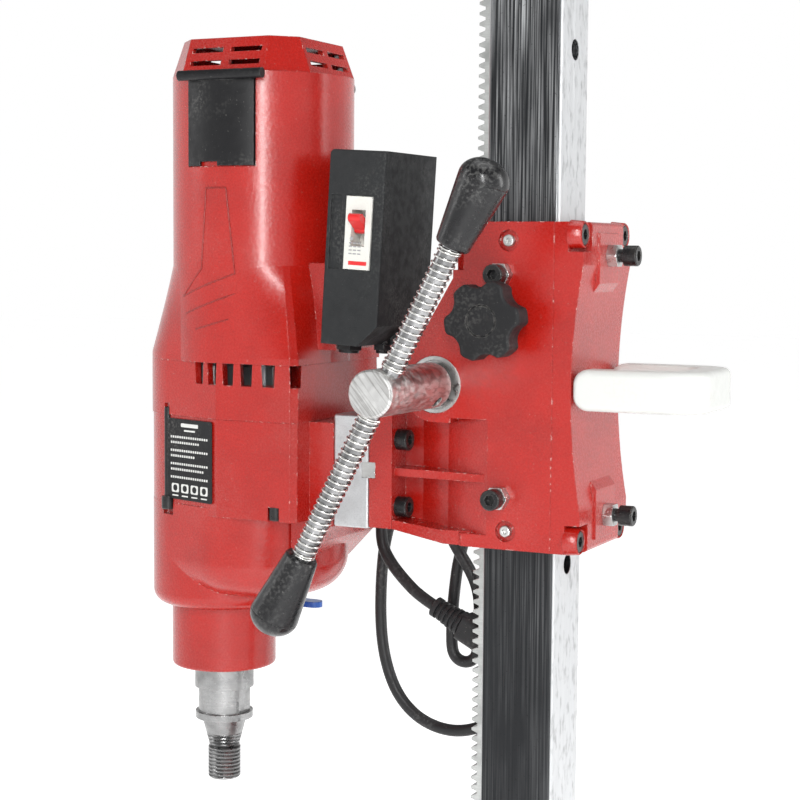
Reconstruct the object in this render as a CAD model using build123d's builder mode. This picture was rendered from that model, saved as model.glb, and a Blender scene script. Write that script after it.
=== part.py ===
"""Core drill rig: a wet core drill motor on a rack-and-pinion stand.

Millimetres. +Z runs up the column, -Y is the feed-handle side, -X is the drill motor side.
The origin is on the floor, on the column's axis.
"""
from build123d import *
from math import acos, atan2, cos, pi, radians, sin, sqrt, tan
import os

os.makedirs("parts", exist_ok=True)

# ---------------------------------------------------------------- driving dimensions
column_width = 47.0
column_wall = 5.0
column_top = 900.0
column_hole_pitch = 157.0
column_hole_d = 12.5
base_thickness = 16.0
base_front, base_back, base_half_width = -72.0, 292.0, 110.0
socket_top = 72.0
wheel_x, wheel_z, wheel_r, wheel_width = 276.0, 48.0, 40.0, 26.0
level_x = (-44.0, 222.0)
level_y = 86.0

module = 2.0
pinion_teeth = 15
pinion_z = 530.0                  # height of the feed pinion's axis at rest
rack_tip_x = -35.5
rack_addendum = 1.75
rack_half_width = 10.0
pinion_r = module * pinion_teeth / 2
pinion_x = rack_tip_x + rack_addendum - pinion_r

carriage_half_y = 42.0
carriage_half_z = 98.5
parting_x = 28.0
cover_back_x = 46.5
cover_waist_x = 39.8
bearing_od, bearing_bore, bearing_width = 35.0, 15.0, 11.0
boss_r = 23.0
flange_front, flange_back = -94.7, -78.4
flange_bottom, flange_top = 438.5, 511.0

hub_d, hub_start_y, hub_end_y = 28.0, -47.5, -129.0
bar_y = -114.0
bar_d = 12.0
bar_tilt = 27.4                   # degrees from vertical, top towards +X
bar_up, bar_down = 147.5, 165.0   # from the hub's axis to each grip's end
grip_length = 53.0
spring_r, spring_wire = 7.4, 1.3

knob_x, knob_z, knob_front_y, knob_thickness = -4.9, 570.7, -73.5, 15.5

motor_x, spindle_x = -194.0, -224.7
housing_r = 59.5
housing_top = 723.0
cap_top = 745.5
seam_z = 539.0                    # upper housing to middle housing
gear_seam_z = 503.0               # middle housing to gear case
gear_case_bottom = 374.0
collar_bottom = 331.0
collar_r = 35.0
spindle_nose_z = 251.0
spacer_front = -119.4

box_lean = 3.2                    # degrees, top towards +X
box_mid = (-100.2, -15.5, 612.5)
box_size = (39.0, 73.0, 120.0)


def at_y(y):
    """A plane across Y at the given height, its x along +X and its y along +Z, facing -Y."""
    return Plane.XZ.offset(-y)


def along_y(x, z, y):
    """The same plane with its origin on an axis parallel to Y."""
    return Plane(origin=(x, y, z), x_dir=(1, 0, 0), z_dir=(0, -1, 0))


def at_x(x):
    """A plane across X, its x along +Y and its y along +Z, facing +X."""
    return Plane.YZ.offset(x)


def save(part, name):
    """Label a finished piece and write its STEP file."""
    part.part.label = name
    export_step(part.part, f"parts/{name}.step")


def involute_outline(teeth, mod, addendum, dedendum, thinning):
    """Closed outline of a 20 degree spur gear, with a tooth centred on local +x."""
    pitch_r = teeth * mod / 2
    base_r = pitch_r * cos(radians(20))
    tip_r = pitch_r + addendum
    root_r = pitch_r - dedendum
    involute_20 = tan(radians(20)) - radians(20)
    half_at_pitch = pi / (2 * teeth) - thinning / (2 * pitch_r)
    points = []
    for tooth in range(teeth):
        centre = 2 * pi * tooth / teeth
        flank = []
        for step in range(5):
            r = max(base_r, root_r) + (tip_r - max(base_r, root_r)) * step / 4
            pressure = acos(min(1, base_r / r))
            half = half_at_pitch + involute_20 - (tan(pressure) - pressure)
            flank.append((r, half))
        if root_r < base_r:
            flank.insert(0, (root_r, flank[0][1]))
        points += [(r * cos(centre - half), r * sin(centre - half)) for r, half in flank]
        points += [(r * cos(centre + half), r * sin(centre + half)) for r, half in reversed(flank)]
    return points


def meshing_turn(centre, turn, teeth, mate_centre, mate_teeth):
    """Angle of a tooth of the mate, so that one of its gaps takes the tooth of the gear at the line of centres."""
    line = atan2(mate_centre[1] - centre[1], mate_centre[0] - centre[0])
    offset_angle = (line - turn) % (2 * pi / teeth)
    return line + pi + offset_angle * teeth / mate_teeth + pi / mate_teeth


def socket_screw(d, length, head_d, head_h, hex_across):
    """A socket head cap screw along local +Z, its head's underside on the local origin, shank below."""
    with BuildPart() as screw:
        with BuildSketch():
            Circle(head_d / 2)
        extrude(amount=head_h)
        chamfer(screw.edges().group_by(Axis.Z)[-1], length=0.6)
        with BuildSketch(Plane.XY.offset(head_h)):
            RegularPolygon(hex_across / 2, 6, major_radius=False)
        extrude(amount=-head_h * 0.6, mode=Mode.SUBTRACT)
        with BuildSketch():
            Circle(d / 2)
        extrude(amount=-length)
        chamfer(screw.faces().sort_by(Axis.Z)[0].edges(), length=0.7)
    return screw.part


def hex_nut(across, height, bore):
    """A hexagon nut standing on the local XY plane, its corners chamfered."""
    with BuildPart() as nut:
        with BuildSketch():
            RegularPolygon(across / 2, 6, major_radius=False)
            Circle(bore / 2, mode=Mode.SUBTRACT)
        extrude(amount=height)
        with BuildSketch(Plane.XZ):
            with BuildLine():
                Polyline(
                    (0, -1), (across * 0.52, -1), (across * 0.58, 0.9),
                    (across * 0.58, height - 0.9), (across * 0.52, height + 1), (0, height + 1), close=True,
                )
            make_face()
        revolve(axis=Axis.Z, mode=Mode.INTERSECT)
    return nut.part


half_column = column_width / 2
carriage_bottom = pinion_z - carriage_half_z + 0.5
carriage_top = pinion_z + carriage_half_z + 0.5
carriage_mid = (carriage_bottom + carriage_top) / 2

# ================================================================ base and column

# Cast base: plate with a raised rim, ribs, column socket, anchor slot, levelling bosses and axle lugs.
with BuildPart() as base_plate:
    with BuildSketch():
        with Locations(((base_front + base_back) / 2, 0)):
            RectangleRounded(base_back - base_front, 2 * base_half_width, 22)
    extrude(amount=base_thickness)
    with BuildSketch(Plane.XY.offset(base_thickness)):
        with Locations(((base_front + base_back) / 2, 0)):
            RectangleRounded(base_back - base_front, 2 * base_half_width, 22)
            RectangleRounded(base_back - base_front - 20, 2 * base_half_width - 20, 13, mode=Mode.SUBTRACT)
        for side in (-1, 1):
            with Locations(((base_front + base_back) / 2, side * 36)):
                Rectangle(base_back - base_front - 10, 9)
        with Locations((0, 0)):
            Rectangle(9, 2 * base_half_width - 10)
        with Locations((72, 0), (238, 0)):
            Rectangle(9, 72)
    extrude(amount=16)
    with BuildSketch(Plane.XY.offset(base_thickness)):
        with Locations((0, 0)):
            RectangleRounded(78, 78, 8)
    extrude(amount=socket_top - base_thickness)
    with BuildSketch(Plane.XY.offset(base_thickness)):
        with Locations([(x, y) for x in level_x for y in (-level_y, level_y)]):
            Circle(16)
    extrude(amount=20)
    with BuildSketch(Plane.XZ):
        with BuildLine():
            Polyline(
                (wheel_x - 40, 12), (wheel_x + 12, 12), (wheel_x + 12, wheel_z + 4),
                (wheel_x + 5, wheel_z + 12), (wheel_x - 7, wheel_z + 12), (wheel_x - 14, wheel_z + 2), close=True,
            )
        make_face()
    extrude(amount=base_half_width - 3, both=True)
    with BuildSketch(Plane.XZ):
        with Locations((wheel_x, wheel_z)):
            Rectangle(140, 64)
    extrude(amount=base_half_width - 22, both=True, mode=Mode.SUBTRACT)
    with BuildSketch():
        with Locations(((base_front + base_back) / 2, 0)):
            RectangleRounded(base_back - base_front - 2, 2 * base_half_width - 24, 12)
    extrude(amount=base_thickness)
    with BuildSketch(Plane.XY.offset(base_thickness)):
        with Locations(((base_back + 238) / 2 - 4, 0)):
            Rectangle(34, 80)
    extrude(amount=16)
    # column socket, anchor slot, levelling threads, axle bore and socket screw holes
    with BuildSketch(Plane.XY.offset(base_thickness)):
        Rectangle(column_width + 0.3, column_width + 0.3)
    extrude(amount=socket_top, mode=Mode.SUBTRACT)
    with BuildSketch(Plane.XY.offset(base_thickness)):
        with Locations((-half_column - 7, 0)):
            Rectangle(14, 2 * rack_half_width + 1)
    extrude(amount=socket_top, mode=Mode.SUBTRACT)
    with BuildSketch():
        with Locations((155, 0)):
            SlotOverall(130, 18)
    extrude(amount=60, mode=Mode.SUBTRACT)
    with BuildSketch():
        with Locations([(x, y) for x in level_x for y in (-level_y, level_y)]):
            Circle(6.1)
    extrude(amount=60, mode=Mode.SUBTRACT)
    with BuildSketch(Plane.XZ):
        with Locations((wheel_x, wheel_z)):
            Circle(7.05)
    extrude(amount=200, both=True, mode=Mode.SUBTRACT)
    with BuildSketch(Plane.XZ):
        with Locations((0, 43), (0, 62)):
            Circle(5.05)
    extrude(amount=60, both=True, mode=Mode.SUBTRACT)
save(base_plate, "base_plate")

# Two M10 cross bolts clamp the column in its socket, from each side.
cross_bolt = socket_screw(10.0, 20.0, 16.0, 10.0, 8.0)
with BuildPart() as socket_bolts:
    for side, direction in ((-1, (0, -1, 0)), (1, (0, 1, 0))):
        for z in (43, 62):
            with Locations(Plane(origin=(0, side * 39, z), x_dir=(1, 0, 0), z_dir=direction)):
                add(cross_bolt)
save(socket_bolts, "socket_bolts")

# Square column tube with a row of locating holes in its back face.
with BuildPart() as column:
    with BuildSketch(Plane.XY.offset(base_thickness)):
        RectangleRounded(column_width, column_width, 2.5)
        RectangleRounded(column_width - 2 * column_wall, column_width - 2 * column_wall, 1, mode=Mode.SUBTRACT)
    extrude(amount=column_top - base_thickness)
    with BuildSketch(at_x(0)):
        with Locations([(0, 105 + column_hole_pitch * i) for i in range(5)]):
            Circle(column_hole_d / 2)
    extrude(amount=half_column + 1, mode=Mode.SUBTRACT)
    with BuildSketch(Plane.XZ):
        with Locations((0, 43), (0, 62)):
            Circle(5.05)
    extrude(amount=60, both=True, mode=Mode.SUBTRACT)
save(column, "column")

# Rack: straight-sided teeth, one centred at the height of the pinion's axis.
rack_pitch_x = rack_tip_x + rack_addendum
rack_root_x = rack_pitch_x + 2.3
tooth_half = pi * module / 4 - 0.12
slope = tan(radians(20))
rack_bottom_tooth, rack_top_tooth = -71, 54
rack_points = [(-half_column, pinion_z + (rack_bottom_tooth - 0.5) * pi * module)]
for number in range(rack_bottom_tooth, rack_top_tooth + 1):
    z = pinion_z + number * pi * module
    root_half = tooth_half + 2.3 * slope
    tip_half = tooth_half - rack_addendum * slope
    if number == rack_bottom_tooth:
        rack_points.append((rack_root_x, z - pi * module / 2))
    rack_points += [(rack_root_x, z - root_half), (rack_tip_x, z - tip_half)]
    rack_points += [(rack_tip_x, z + tip_half), (rack_root_x, z + root_half)]
rack_points += [
    (rack_root_x, pinion_z + (rack_top_tooth + 0.5) * pi * module),
    (-half_column, pinion_z + (rack_top_tooth + 0.5) * pi * module),
]
with BuildPart() as gear_rack:
    with BuildSketch(Plane.XZ):
        with BuildLine():
            Polyline(*rack_points, close=True)
        make_face()
    extrude(amount=rack_half_width, both=True)
save(gear_rack, "gear_rack")

# Plastic cap in the top of the column, with a steel stop collar's lip over the tube.
with BuildPart() as column_cap:
    with BuildSketch(Plane.XY.offset(column_top)):
        RectangleRounded(column_width + 3, column_width + 3, 4)
    extrude(amount=7)
    fillet(column_cap.faces().sort_by(Axis.Z)[-1].edges(), radius=3)
    with BuildSketch(Plane.XY.offset(column_top)):
        RectangleRounded(column_width - 2 * column_wall - 0.3, column_width - 2 * column_wall - 0.3, 1.5)
    extrude(amount=-22)
save(column_cap, "column_cap")

# Four levelling screws, each its own moving piece, with a lock nut on every boss.
level_nut = hex_nut(19.0, 9.0, 12.4)
with BuildPart() as levelling_nuts:
    with Locations([(x, y, base_thickness + 20) for x in level_x for y in (-level_y, level_y)]):
        add(level_nut)
save(levelling_nuts, "levelling_nuts")

level_names = {
    "levelling_screw_front_near": (level_x[0], -level_y),
    "levelling_screw_front_far": (level_x[0], level_y),
    "levelling_screw_back_near": (level_x[1], -level_y),
    "levelling_screw_back_far": (level_x[1], level_y),
}
for level_name, (x, y) in level_names.items():
    with BuildPart() as levelling_screw:
        with BuildSketch(Plane.XY.offset(8)):
            with Locations((x, y)):
                Circle(6)
        extrude(amount=66)
        with BuildSketch(Plane.XY.offset(74)):
            with Locations((x, y)):
                RegularPolygon(9.5, 6, major_radius=False)
        extrude(amount=8)
        with BuildSketch(Plane.XY.offset(2)):
            with Locations((x, y)):
                Circle(2.5)
        extrude(amount=6, taper=-30)
    save(levelling_screw, level_name)

# Axle through the base's lugs and two wheels that take the load when the rig is tipped back.
with BuildPart() as wheel_axle:
    with BuildSketch(at_y(-148)):
        with Locations((wheel_x, wheel_z)):
            Circle(7)
    extrude(amount=-296)
    for side in (-1, 1):
        with BuildSketch(at_y(side * 146)):
            with Locations((wheel_x, wheel_z)):
                Circle(11)
        extrude(amount=-2 * side)
save(wheel_axle, "wheel_axle")

for wheel_name, side in (("wheel_near", -1), ("wheel_far", 1)):
    with BuildPart() as wheel:
        with BuildSketch(Plane.XY.offset(wheel_z)):
            with BuildLine():
                inner, outer = side * 116, side * (116 + wheel_width)
                rim, step = wheel_x - wheel_r, 4 * side
                Polyline(
                    (wheel_x - 7.1, inner - 2 * side), (wheel_x - 15, inner - 2 * side), (wheel_x - 17, inner + step),
                    (rim + 12, inner + step), (rim + 10, inner), (rim + 3, inner), (rim, inner + step),
                    (rim, outer - step), (rim + 3, outer), (rim + 10, outer), (rim + 12, outer - step),
                    (wheel_x - 17, outer - step), (wheel_x - 15, outer + 2 * side), (wheel_x - 7.1, outer + 2 * side),
                    close=True,
                )
            make_face()
        revolve(axis=Axis((wheel_x, 0, wheel_z), (0, 1, 0)))
    save(wheel, wheel_name)

# ================================================================ carriage

# Main casting: block round the column's front and sides, pinion boss, and the arm with the motor flange.
boss_to_corner = atan2(595 - pinion_z, -37 - pinion_x)
tangent_angle = boss_to_corner + acos(boss_r / sqrt((-37 - pinion_x) ** 2 + (595 - pinion_z) ** 2))
tangent_point = (pinion_x + boss_r * cos(tangent_angle), pinion_z + boss_r * sin(tangent_angle))
near_adjusters = [(-5.0, carriage_mid + 67), (-5.0, carriage_mid - 67)]
back_adjusters = [(0.0, carriage_mid + 78.7), (0.0, carriage_mid - 78.7)]
plug_screws = [(-1.0, carriage_mid + 87.3), (-1.0, carriage_mid - 87.3)]
cover_bolt_z = (carriage_mid - 91, carriage_mid + 91)
motor_bolt_z = (451.6, 493.7)
motor_bolt_y = 30.5

with BuildPart() as carriage_housing:
    with BuildSketch(Plane.XY.offset(carriage_bottom)):
        with BuildLine():
            Polyline((parting_x, -42), (parting_x, 42), (-30, 42), (-37, 35), (-37, -35), (-30, -42), close=True)
        make_face()
    extrude(amount=carriage_top - carriage_bottom)
    # side webs from the block's front edge, tangent to the pinion boss
    with BuildSketch(Plane.XZ):
        with BuildLine():
            Polyline((-20, 507), (-20, 600), (-37, 600), (-37, 595), tangent_point)
            ThreePointArc(
                tangent_point, (pinion_x - boss_r * cos(0.35), pinion_z - boss_r * sin(0.35)),
                (pinion_x, pinion_z - boss_r),
            )
            Line((pinion_x, pinion_z - boss_r), (-20, 507))
        make_face()
    extrude(amount=carriage_half_y, both=True)
    # side recesses with a slanting floor, cut into the block and carried on by the arm's web
    for side in (-1, 1):
        with BuildSketch(Plane.XY.offset(440)):
            with BuildLine():
                Polyline((-13, side * 42.1), (-38, side * 30), (-38, side * 42.1), close=True)
            make_face()
        extrude(amount=70, mode=Mode.SUBTRACT)
    with BuildSketch(Plane.XY.offset(flange_bottom)):
        with BuildLine():
            Polyline(
                (-30, -33.8), (-46, -26), (-66, -20), (-80, -20), (-80, 20), (-66, 20), (-46, 26), (-30, 33.8),
                close=True,
            )
        make_face()
    extrude(amount=flange_top - flange_bottom)
    # motor flange, bottom rib and middle rib
    with BuildSketch(Plane.XY.offset(flange_bottom)):
        with Locations(((flange_front + flange_back) / 2, 0)):
            Rectangle(flange_back - flange_front, 80)
    extrude(amount=flange_top - flange_bottom)
    with BuildSketch(Plane.XZ):
        with BuildLine():
            Polyline(
                (flange_back - 1, flange_bottom), (-43.5, carriage_bottom), (-25, carriage_bottom),
                (-25, carriage_bottom + 9), (-46, carriage_bottom + 8.5), (flange_back - 1, flange_bottom + 5.8), close=True,
            )
        make_face()
    extrude(amount=39, both=True)
    with BuildSketch(Plane.XY.offset(471.5)):
        with BuildLine():
            Polyline(
                (flange_back - 1, -36), (-36, -39), (-15, -41.2), (-15, 41.2), (-36, 39), (flange_back - 1, 36),
                close=True,
            )
        make_face()
    extrude(amount=5)
    # inside: room for the column and its pads, the rack slot, the pinion and the two bearing seats
    with BuildSketch(Plane.XY.offset(carriage_bottom - 1)):
        with BuildLine():
            Polyline(
                (parting_x + 1, -29.5), (parting_x + 1, 29.5), (-27.5, 29.5), (-27.5, 12.5), (-39, 12.5),
                (-39, -12.5), (-27.5, -12.5), (-27.5, -29.5), close=True,
            )
        make_face()
    extrude(amount=carriage_top - carriage_bottom + 2, mode=Mode.SUBTRACT)
    for half_length, bore_r in ((14, 19.5), (31.5, 14)):
        with BuildSketch(Plane.XZ):
            with Locations((pinion_x, pinion_z)):
                Circle(bore_r)
        extrude(amount=half_length, both=True, mode=Mode.SUBTRACT)
    for side in (-1, 1):
        with BuildSketch(at_y(side * (carriage_half_y - bearing_width))):
            with Locations((pinion_x, pinion_z)):
                Circle(bearing_od / 2 + 0.03)
        extrude(amount=-side * (bearing_width + 1), mode=Mode.SUBTRACT)
    # screw holes: near-side adjusters and plug screws, the lock stud, cover bolts and motor bolts
    with BuildSketch(at_y(-28)):
        with Locations(near_adjusters):
            Circle(4.05)
        with Locations((knob_x, knob_z)):
            Circle(5.05)
    extrude(amount=16, mode=Mode.SUBTRACT)
    with BuildSketch(at_y(-39)):
        with Locations(plug_screws):
            Circle(6.4)
    extrude(amount=4, mode=Mode.SUBTRACT)
    with BuildSketch(at_y(-30)):
        with Locations(plug_screws):
            Circle(2.05)
    extrude(amount=13, mode=Mode.SUBTRACT)
    with BuildSketch(at_x(parting_x)):
        with Locations([(y, z) for y in (-35.5, 35.5) for z in cover_bolt_z]):
            Circle(4.05)
    extrude(amount=-16, mode=Mode.SUBTRACT)
    with BuildSketch(at_x(flange_back)):
        with Locations([(y, z) for y in (-motor_bolt_y, motor_bolt_y) for z in motor_bolt_z]):
            Circle(4.05)
    extrude(amount=-20, mode=Mode.SUBTRACT)
    with BuildSketch(at_y(45)):
        with Locations((flange_front, 474.5)):
            Rectangle(9.64, 10.04)
    extrude(amount=90, mode=Mode.SUBTRACT)
    outer_edges = carriage_housing.edges().filter_by(Axis.Z).filter_by_position(Axis.X, -95, -94)
    fillet(outer_edges, radius=1.5)
save(carriage_housing, "carriage_housing")

# Back cover: hourglass back, a raised pad under each adjusting screw, open pockets for the corner bolts.
with BuildPart() as carriage_cover:
    with BuildSketch(Plane.XZ):
        with BuildLine():
            Polyline(
                (cover_back_x, carriage_mid - 73), (cover_back_x, carriage_bottom), (parting_x, carriage_bottom),
                (parting_x, carriage_top), (cover_back_x, carriage_top), (cover_back_x, carriage_mid + 73),
            )
            ThreePointArc(
                (cover_back_x, carriage_mid + 73), (cover_waist_x, carriage_mid), (cover_back_x, carriage_mid - 73),
            )
        make_face()
    extrude(amount=carriage_half_y, both=True)
    fillet(carriage_cover.edges().filter_by(Axis.Y).filter_by_position(Axis.X, 46, 47).sort_by(Axis.Z)[-1], radius=3)
    fillet(carriage_cover.edges().filter_by(Axis.Y).filter_by_position(Axis.X, 46, 47).sort_by(Axis.Z)[0], radius=3)
    for end in (-1, 1):
        with BuildSketch(Plane.XZ):
            with BuildLine():
                Polyline(
                    (36, carriage_mid + end * 46), (cover_back_x + 1.2, carriage_mid + end * 62),
                    (cover_back_x + 1.2, carriage_mid + end * 92), (36, carriage_mid + end * 95), close=True,
                )
            make_face()
        extrude(amount=17, both=True)
    with BuildSketch(at_x(parting_x)):
        Rectangle(59, 2000)
    extrude(amount=1.5, mode=Mode.SUBTRACT)
    with BuildSketch(at_x(37)):
        with Locations([(side * 36, carriage_mid + end * 94) for side in (-1, 1) for end in (-1, 1)]):
            Rectangle(17, 26)
    extrude(amount=20, mode=Mode.SUBTRACT)
    with BuildSketch(at_x(parting_x - 1)):
        with Locations([(y, z) for y in (-35.5, 35.5) for z in cover_bolt_z]):
            Circle(4.05)
    extrude(amount=20, mode=Mode.SUBTRACT)
    with BuildSketch(at_x(parting_x)):
        with Locations(back_adjusters):
            Circle(4.05)
    extrude(amount=30, mode=Mode.SUBTRACT)
    with BuildSketch(at_x(parting_x)):
        with Locations((-33, pinion_z), (33, pinion_z)):
            Circle(3.05)
    extrude(amount=30, mode=Mode.SUBTRACT)
save(carriage_cover, "carriage_cover")

# M8 socket screws: four hold the cover, four clamp the motor flange to the spacer.
cover_bolt = socket_screw(8.0, 22.0, 13.0, 8.0, 6.0)
motor_bolt = socket_screw(8.0, 32.0, 13.0, 8.0, 6.0)
with BuildPart() as carriage_bolts:
    for y in (-35.5, 35.5):
        for z in cover_bolt_z:
            with Locations(Plane(origin=(37, y, z), x_dir=(0, 1, 0), z_dir=(1, 0, 0))):
                add(cover_bolt)
    for y in (-motor_bolt_y, motor_bolt_y):
        for z in motor_bolt_z:
            with Locations(Plane(origin=(flange_back, y, z), x_dir=(0, 1, 0), z_dir=(1, 0, 0))):
                add(motor_bolt)
save(carriage_bolts, "carriage_bolts")

# Adjusting screws that bear on the slide pads, and two small plug screws in the near face.
near_adjuster = socket_screw(8.0, 19.2, 12.5, 8.5, 6.0)
back_adjuster = socket_screw(8.0, 28.0, 12.5, 8.5, 6.0)
with BuildPart() as adjusting_screws:
    for x, z in near_adjusters:
        with Locations(along_y(x, z, -48.8)):
            add(near_adjuster)
    for y, z in back_adjusters:
        with Locations(Plane(origin=(57.6, y, z), x_dir=(0, 1, 0), z_dir=(1, 0, 0))):
            add(back_adjuster)
save(adjusting_screws, "adjusting_screws")

lock_nut = hex_nut(13.0, 6.5, 8.1)
plug_screw = socket_screw(4.0, 8.0, 7.0, 4.0, 3.0)
with BuildPart() as adjusting_nuts:
    for x, z in near_adjusters:
        with Locations(along_y(x, z, -carriage_half_y)):
            add(lock_nut)
    for y, z in back_adjusters:
        with Locations(Plane(origin=(cover_back_x + 1.2, y, z), x_dir=(0, 1, 0), z_dir=(1, 0, 0))):
            add(lock_nut)
    for x, z in plug_screws:
        with Locations(along_y(x, z, -39)):
            add(plug_screw)
save(adjusting_nuts, "adjusting_nuts")

# Slide pads between the casting and the column: near, far, front and back, at the top and the bottom.
with BuildPart() as slide_pads:
    for x, z in near_adjusters:
        with BuildSketch(Plane.XY.offset(z - 15)):
            with Locations((0, -26.5), (0, 26.5)):
                RectangleRounded(36, 5.6, 1)
            with Locations((-25.65, -18), (-25.65, 18)):
                Rectangle(3.3, 8)
        extrude(amount=30)
    for y, z in back_adjusters:
        with BuildSketch(Plane.XY.offset(z - 13)):
            with Locations((26.5, 0)):
                RectangleRounded(5.6, 34, 1)
        extrude(amount=26)
save(slide_pads, "slide_pads")

# Feed shaft bearings, 15 x 35 x 11: shielded outer rings sit in the casting, inner rings on the shaft.
with BuildPart() as bearing_outer_rings:
    for side in (-1, 1):
        with BuildSketch(at_y(side * (carriage_half_y - 10.8))):
            with Locations((pinion_x, pinion_z)):
                Circle(bearing_od / 2)
                Circle(14.9, mode=Mode.SUBTRACT)
        extrude(amount=-side * 10.6)
        with BuildSketch(at_y(side * 40.2)):
            with Locations((pinion_x, pinion_z)):
                Circle(15.2)
                Circle(10.7, mode=Mode.SUBTRACT)
        extrude(amount=-side * 1.1)
save(bearing_outer_rings, "bearing_outer_rings")

with BuildPart() as bearing_inner_rings:
    for side in (-1, 1):
        with BuildSketch(at_y(side * (carriage_half_y - 10.8))):
            with Locations((pinion_x, pinion_z)):
                Circle(10.35)
                Circle(bearing_bore / 2, mode=Mode.SUBTRACT)
        extrude(amount=-side * 10.6)
save(bearing_inner_rings, "bearing_inner_rings")

# White U-shaped carrying handle on the back cover.
handle_back_x, handle_z, handle_height = 118.0, 530.2, 24.6
with BuildPart() as carry_handle:
    with BuildSketch(Plane.XY.offset(handle_z - handle_height / 2)):
        with BuildLine():
            Polyline((cover_waist_x + 0.3, -42), (94, -42))
            ThreePointArc((94, -42), (handle_back_x - 7, -35), (handle_back_x, -18))
            Line((handle_back_x, -18), (handle_back_x, 18))
            ThreePointArc((handle_back_x, 18), (handle_back_x - 7, 35), (94, 42))
            Polyline((94, 42), (cover_waist_x + 0.3, 42), (cover_waist_x + 0.3, 24), (90, 24))
            ThreePointArc((90, 24), (96, 21), (98, 14))
            Line((98, 14), (98, -14))
            ThreePointArc((98, -14), (96, -21), (90, -24))
            Polyline((90, -24), (cover_waist_x + 0.3, -24), (cover_waist_x + 0.3, -42))
        make_face()
    extrude(amount=handle_height)
    arm_ends = carry_handle.edges().filter_by(Axis.Y).filter_by_position(Axis.X, cover_waist_x, cover_waist_x + 1)
    fillet(arm_ends, radius=9)
    rim = carry_handle.edges().filter_by_position(Axis.X, 91, handle_back_x + 1).group_by(Axis.Z)
    fillet(rim[-1] + rim[0], radius=4)
    with BuildSketch(at_x(cover_waist_x)):
        with Locations((-33, pinion_z), (33, pinion_z)):
            Circle(3.0)
    extrude(amount=22, mode=Mode.SUBTRACT)
save(carry_handle, "carry_handle")

# Aluminium spacer between the arm's flange and the motor's mounting pad, with a key across the joint.
with BuildPart() as motor_spacer:
    with BuildSketch(Plane.XY.offset(437.5)):
        with Locations(((spacer_front + flange_front) / 2, 0)):
            RectangleRounded(flange_front - spacer_front, 80, 1.5)
    extrude(amount=71)
    chamfer(motor_spacer.edges().group_by(Axis.Z)[-1] + motor_spacer.edges().group_by(Axis.Z)[0], length=0.8)
    with BuildSketch(at_y(45)):
        with Locations((flange_front, 474.5)):
            Rectangle(9.64, 10.04)
    extrude(amount=90, mode=Mode.SUBTRACT)
    with BuildSketch(at_x(flange_front)):
        with Locations([(y, z) for y in (-motor_bolt_y, motor_bolt_y) for z in motor_bolt_z]):
            Circle(4.05)
    extrude(amount=-18, mode=Mode.SUBTRACT)
save(motor_spacer, "motor_spacer")

with BuildPart() as spacer_key:
    with BuildSketch(at_y(39.8)):
        with Locations((flange_front, 474.5)):
            Rectangle(9.6, 10)
    extrude(amount=79.6)
    chamfer(spacer_key.edges().filter_by(Axis.Y), length=0.5)
save(spacer_key, "spacer_key")

# ================================================================ feed handle

with BuildPart() as pinion_shaft:
    with BuildSketch(along_y(pinion_x, pinion_z, 44.5)):
        Circle(bearing_bore / 2 - 0.02)
    extrude(amount=44.5 + 78)
    with BuildSketch(along_y(pinion_x, pinion_z, 46)):
        Circle(9.5)
    extrude(amount=3.9)
    chamfer(pinion_shaft.edges().sort_by(Axis.Y)[-1], length=0.8)
save(pinion_shaft, "pinion_shaft")

half_tooth_turn = radians(180 / pinion_teeth)
pinion_tooth_direction = (cos(half_tooth_turn), 0, sin(half_tooth_turn))
with BuildPart() as feed_pinion:
    with BuildSketch(Plane(origin=(pinion_x, 12, pinion_z), x_dir=pinion_tooth_direction, z_dir=(0, -1, 0))):
        with BuildLine():
            Polyline(*involute_outline(pinion_teeth, module, 1.85, 2.4, 0.3), close=True)
        make_face()
        Circle(bearing_bore / 2 + 0.02, mode=Mode.SUBTRACT)
    extrude(amount=24)
save(feed_pinion, "feed_pinion")

bar_up_axis = Plane(
    origin=(pinion_x, bar_y, pinion_z), x_dir=(0, 1, 0),
    z_dir=(sin(radians(bar_tilt)), 0, cos(radians(bar_tilt))),
)
bar_down_axis = Plane(
    origin=(pinion_x, bar_y, pinion_z), x_dir=(0, 1, 0),
    z_dir=(-sin(radians(bar_tilt)), 0, -cos(radians(bar_tilt))),
)

with BuildPart() as feed_hub:
    with BuildSketch(along_y(pinion_x, pinion_z, hub_start_y)):
        Circle(hub_d / 2)
    extrude(amount=hub_start_y - hub_end_y)
    chamfer(feed_hub.edges().sort_by(Axis.Y)[0], length=1.2)
    chamfer(feed_hub.edges().sort_by(Axis.Y)[-1], length=0.6)
    with BuildSketch(along_y(pinion_x, pinion_z, hub_start_y + 1)):
        Circle(bearing_bore / 2)
    extrude(amount=32.5, mode=Mode.SUBTRACT)
    with BuildSketch(bar_up_axis.offset(-20)):
        Circle(bar_d / 2 + 0.05)
    extrude(amount=40, mode=Mode.SUBTRACT)
    with BuildSketch(Plane(origin=(pinion_x, -60, pinion_z), x_dir=(0, 1, 0), z_dir=(0.74, 0, -0.67))):
        Circle(4.05)
    extrude(amount=20, mode=Mode.SUBTRACT)
save(feed_hub, "feed_hub")

with BuildPart() as hub_set_screw:
    with BuildSketch(Plane(origin=(pinion_x, -60, pinion_z), x_dir=(0, 1, 0), z_dir=(0.74, 0, -0.67)).offset(7.7)):
        Circle(4)
    extrude(amount=5.2)
    with BuildSketch(Plane(origin=(pinion_x, -60, pinion_z), x_dir=(0, 1, 0), z_dir=(0.74, 0, -0.67)).offset(12.9)):
        RegularPolygon(2.0, 6, major_radius=False)
    extrude(amount=-3, mode=Mode.SUBTRACT)
save(hub_set_screw, "hub_set_screw")

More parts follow.
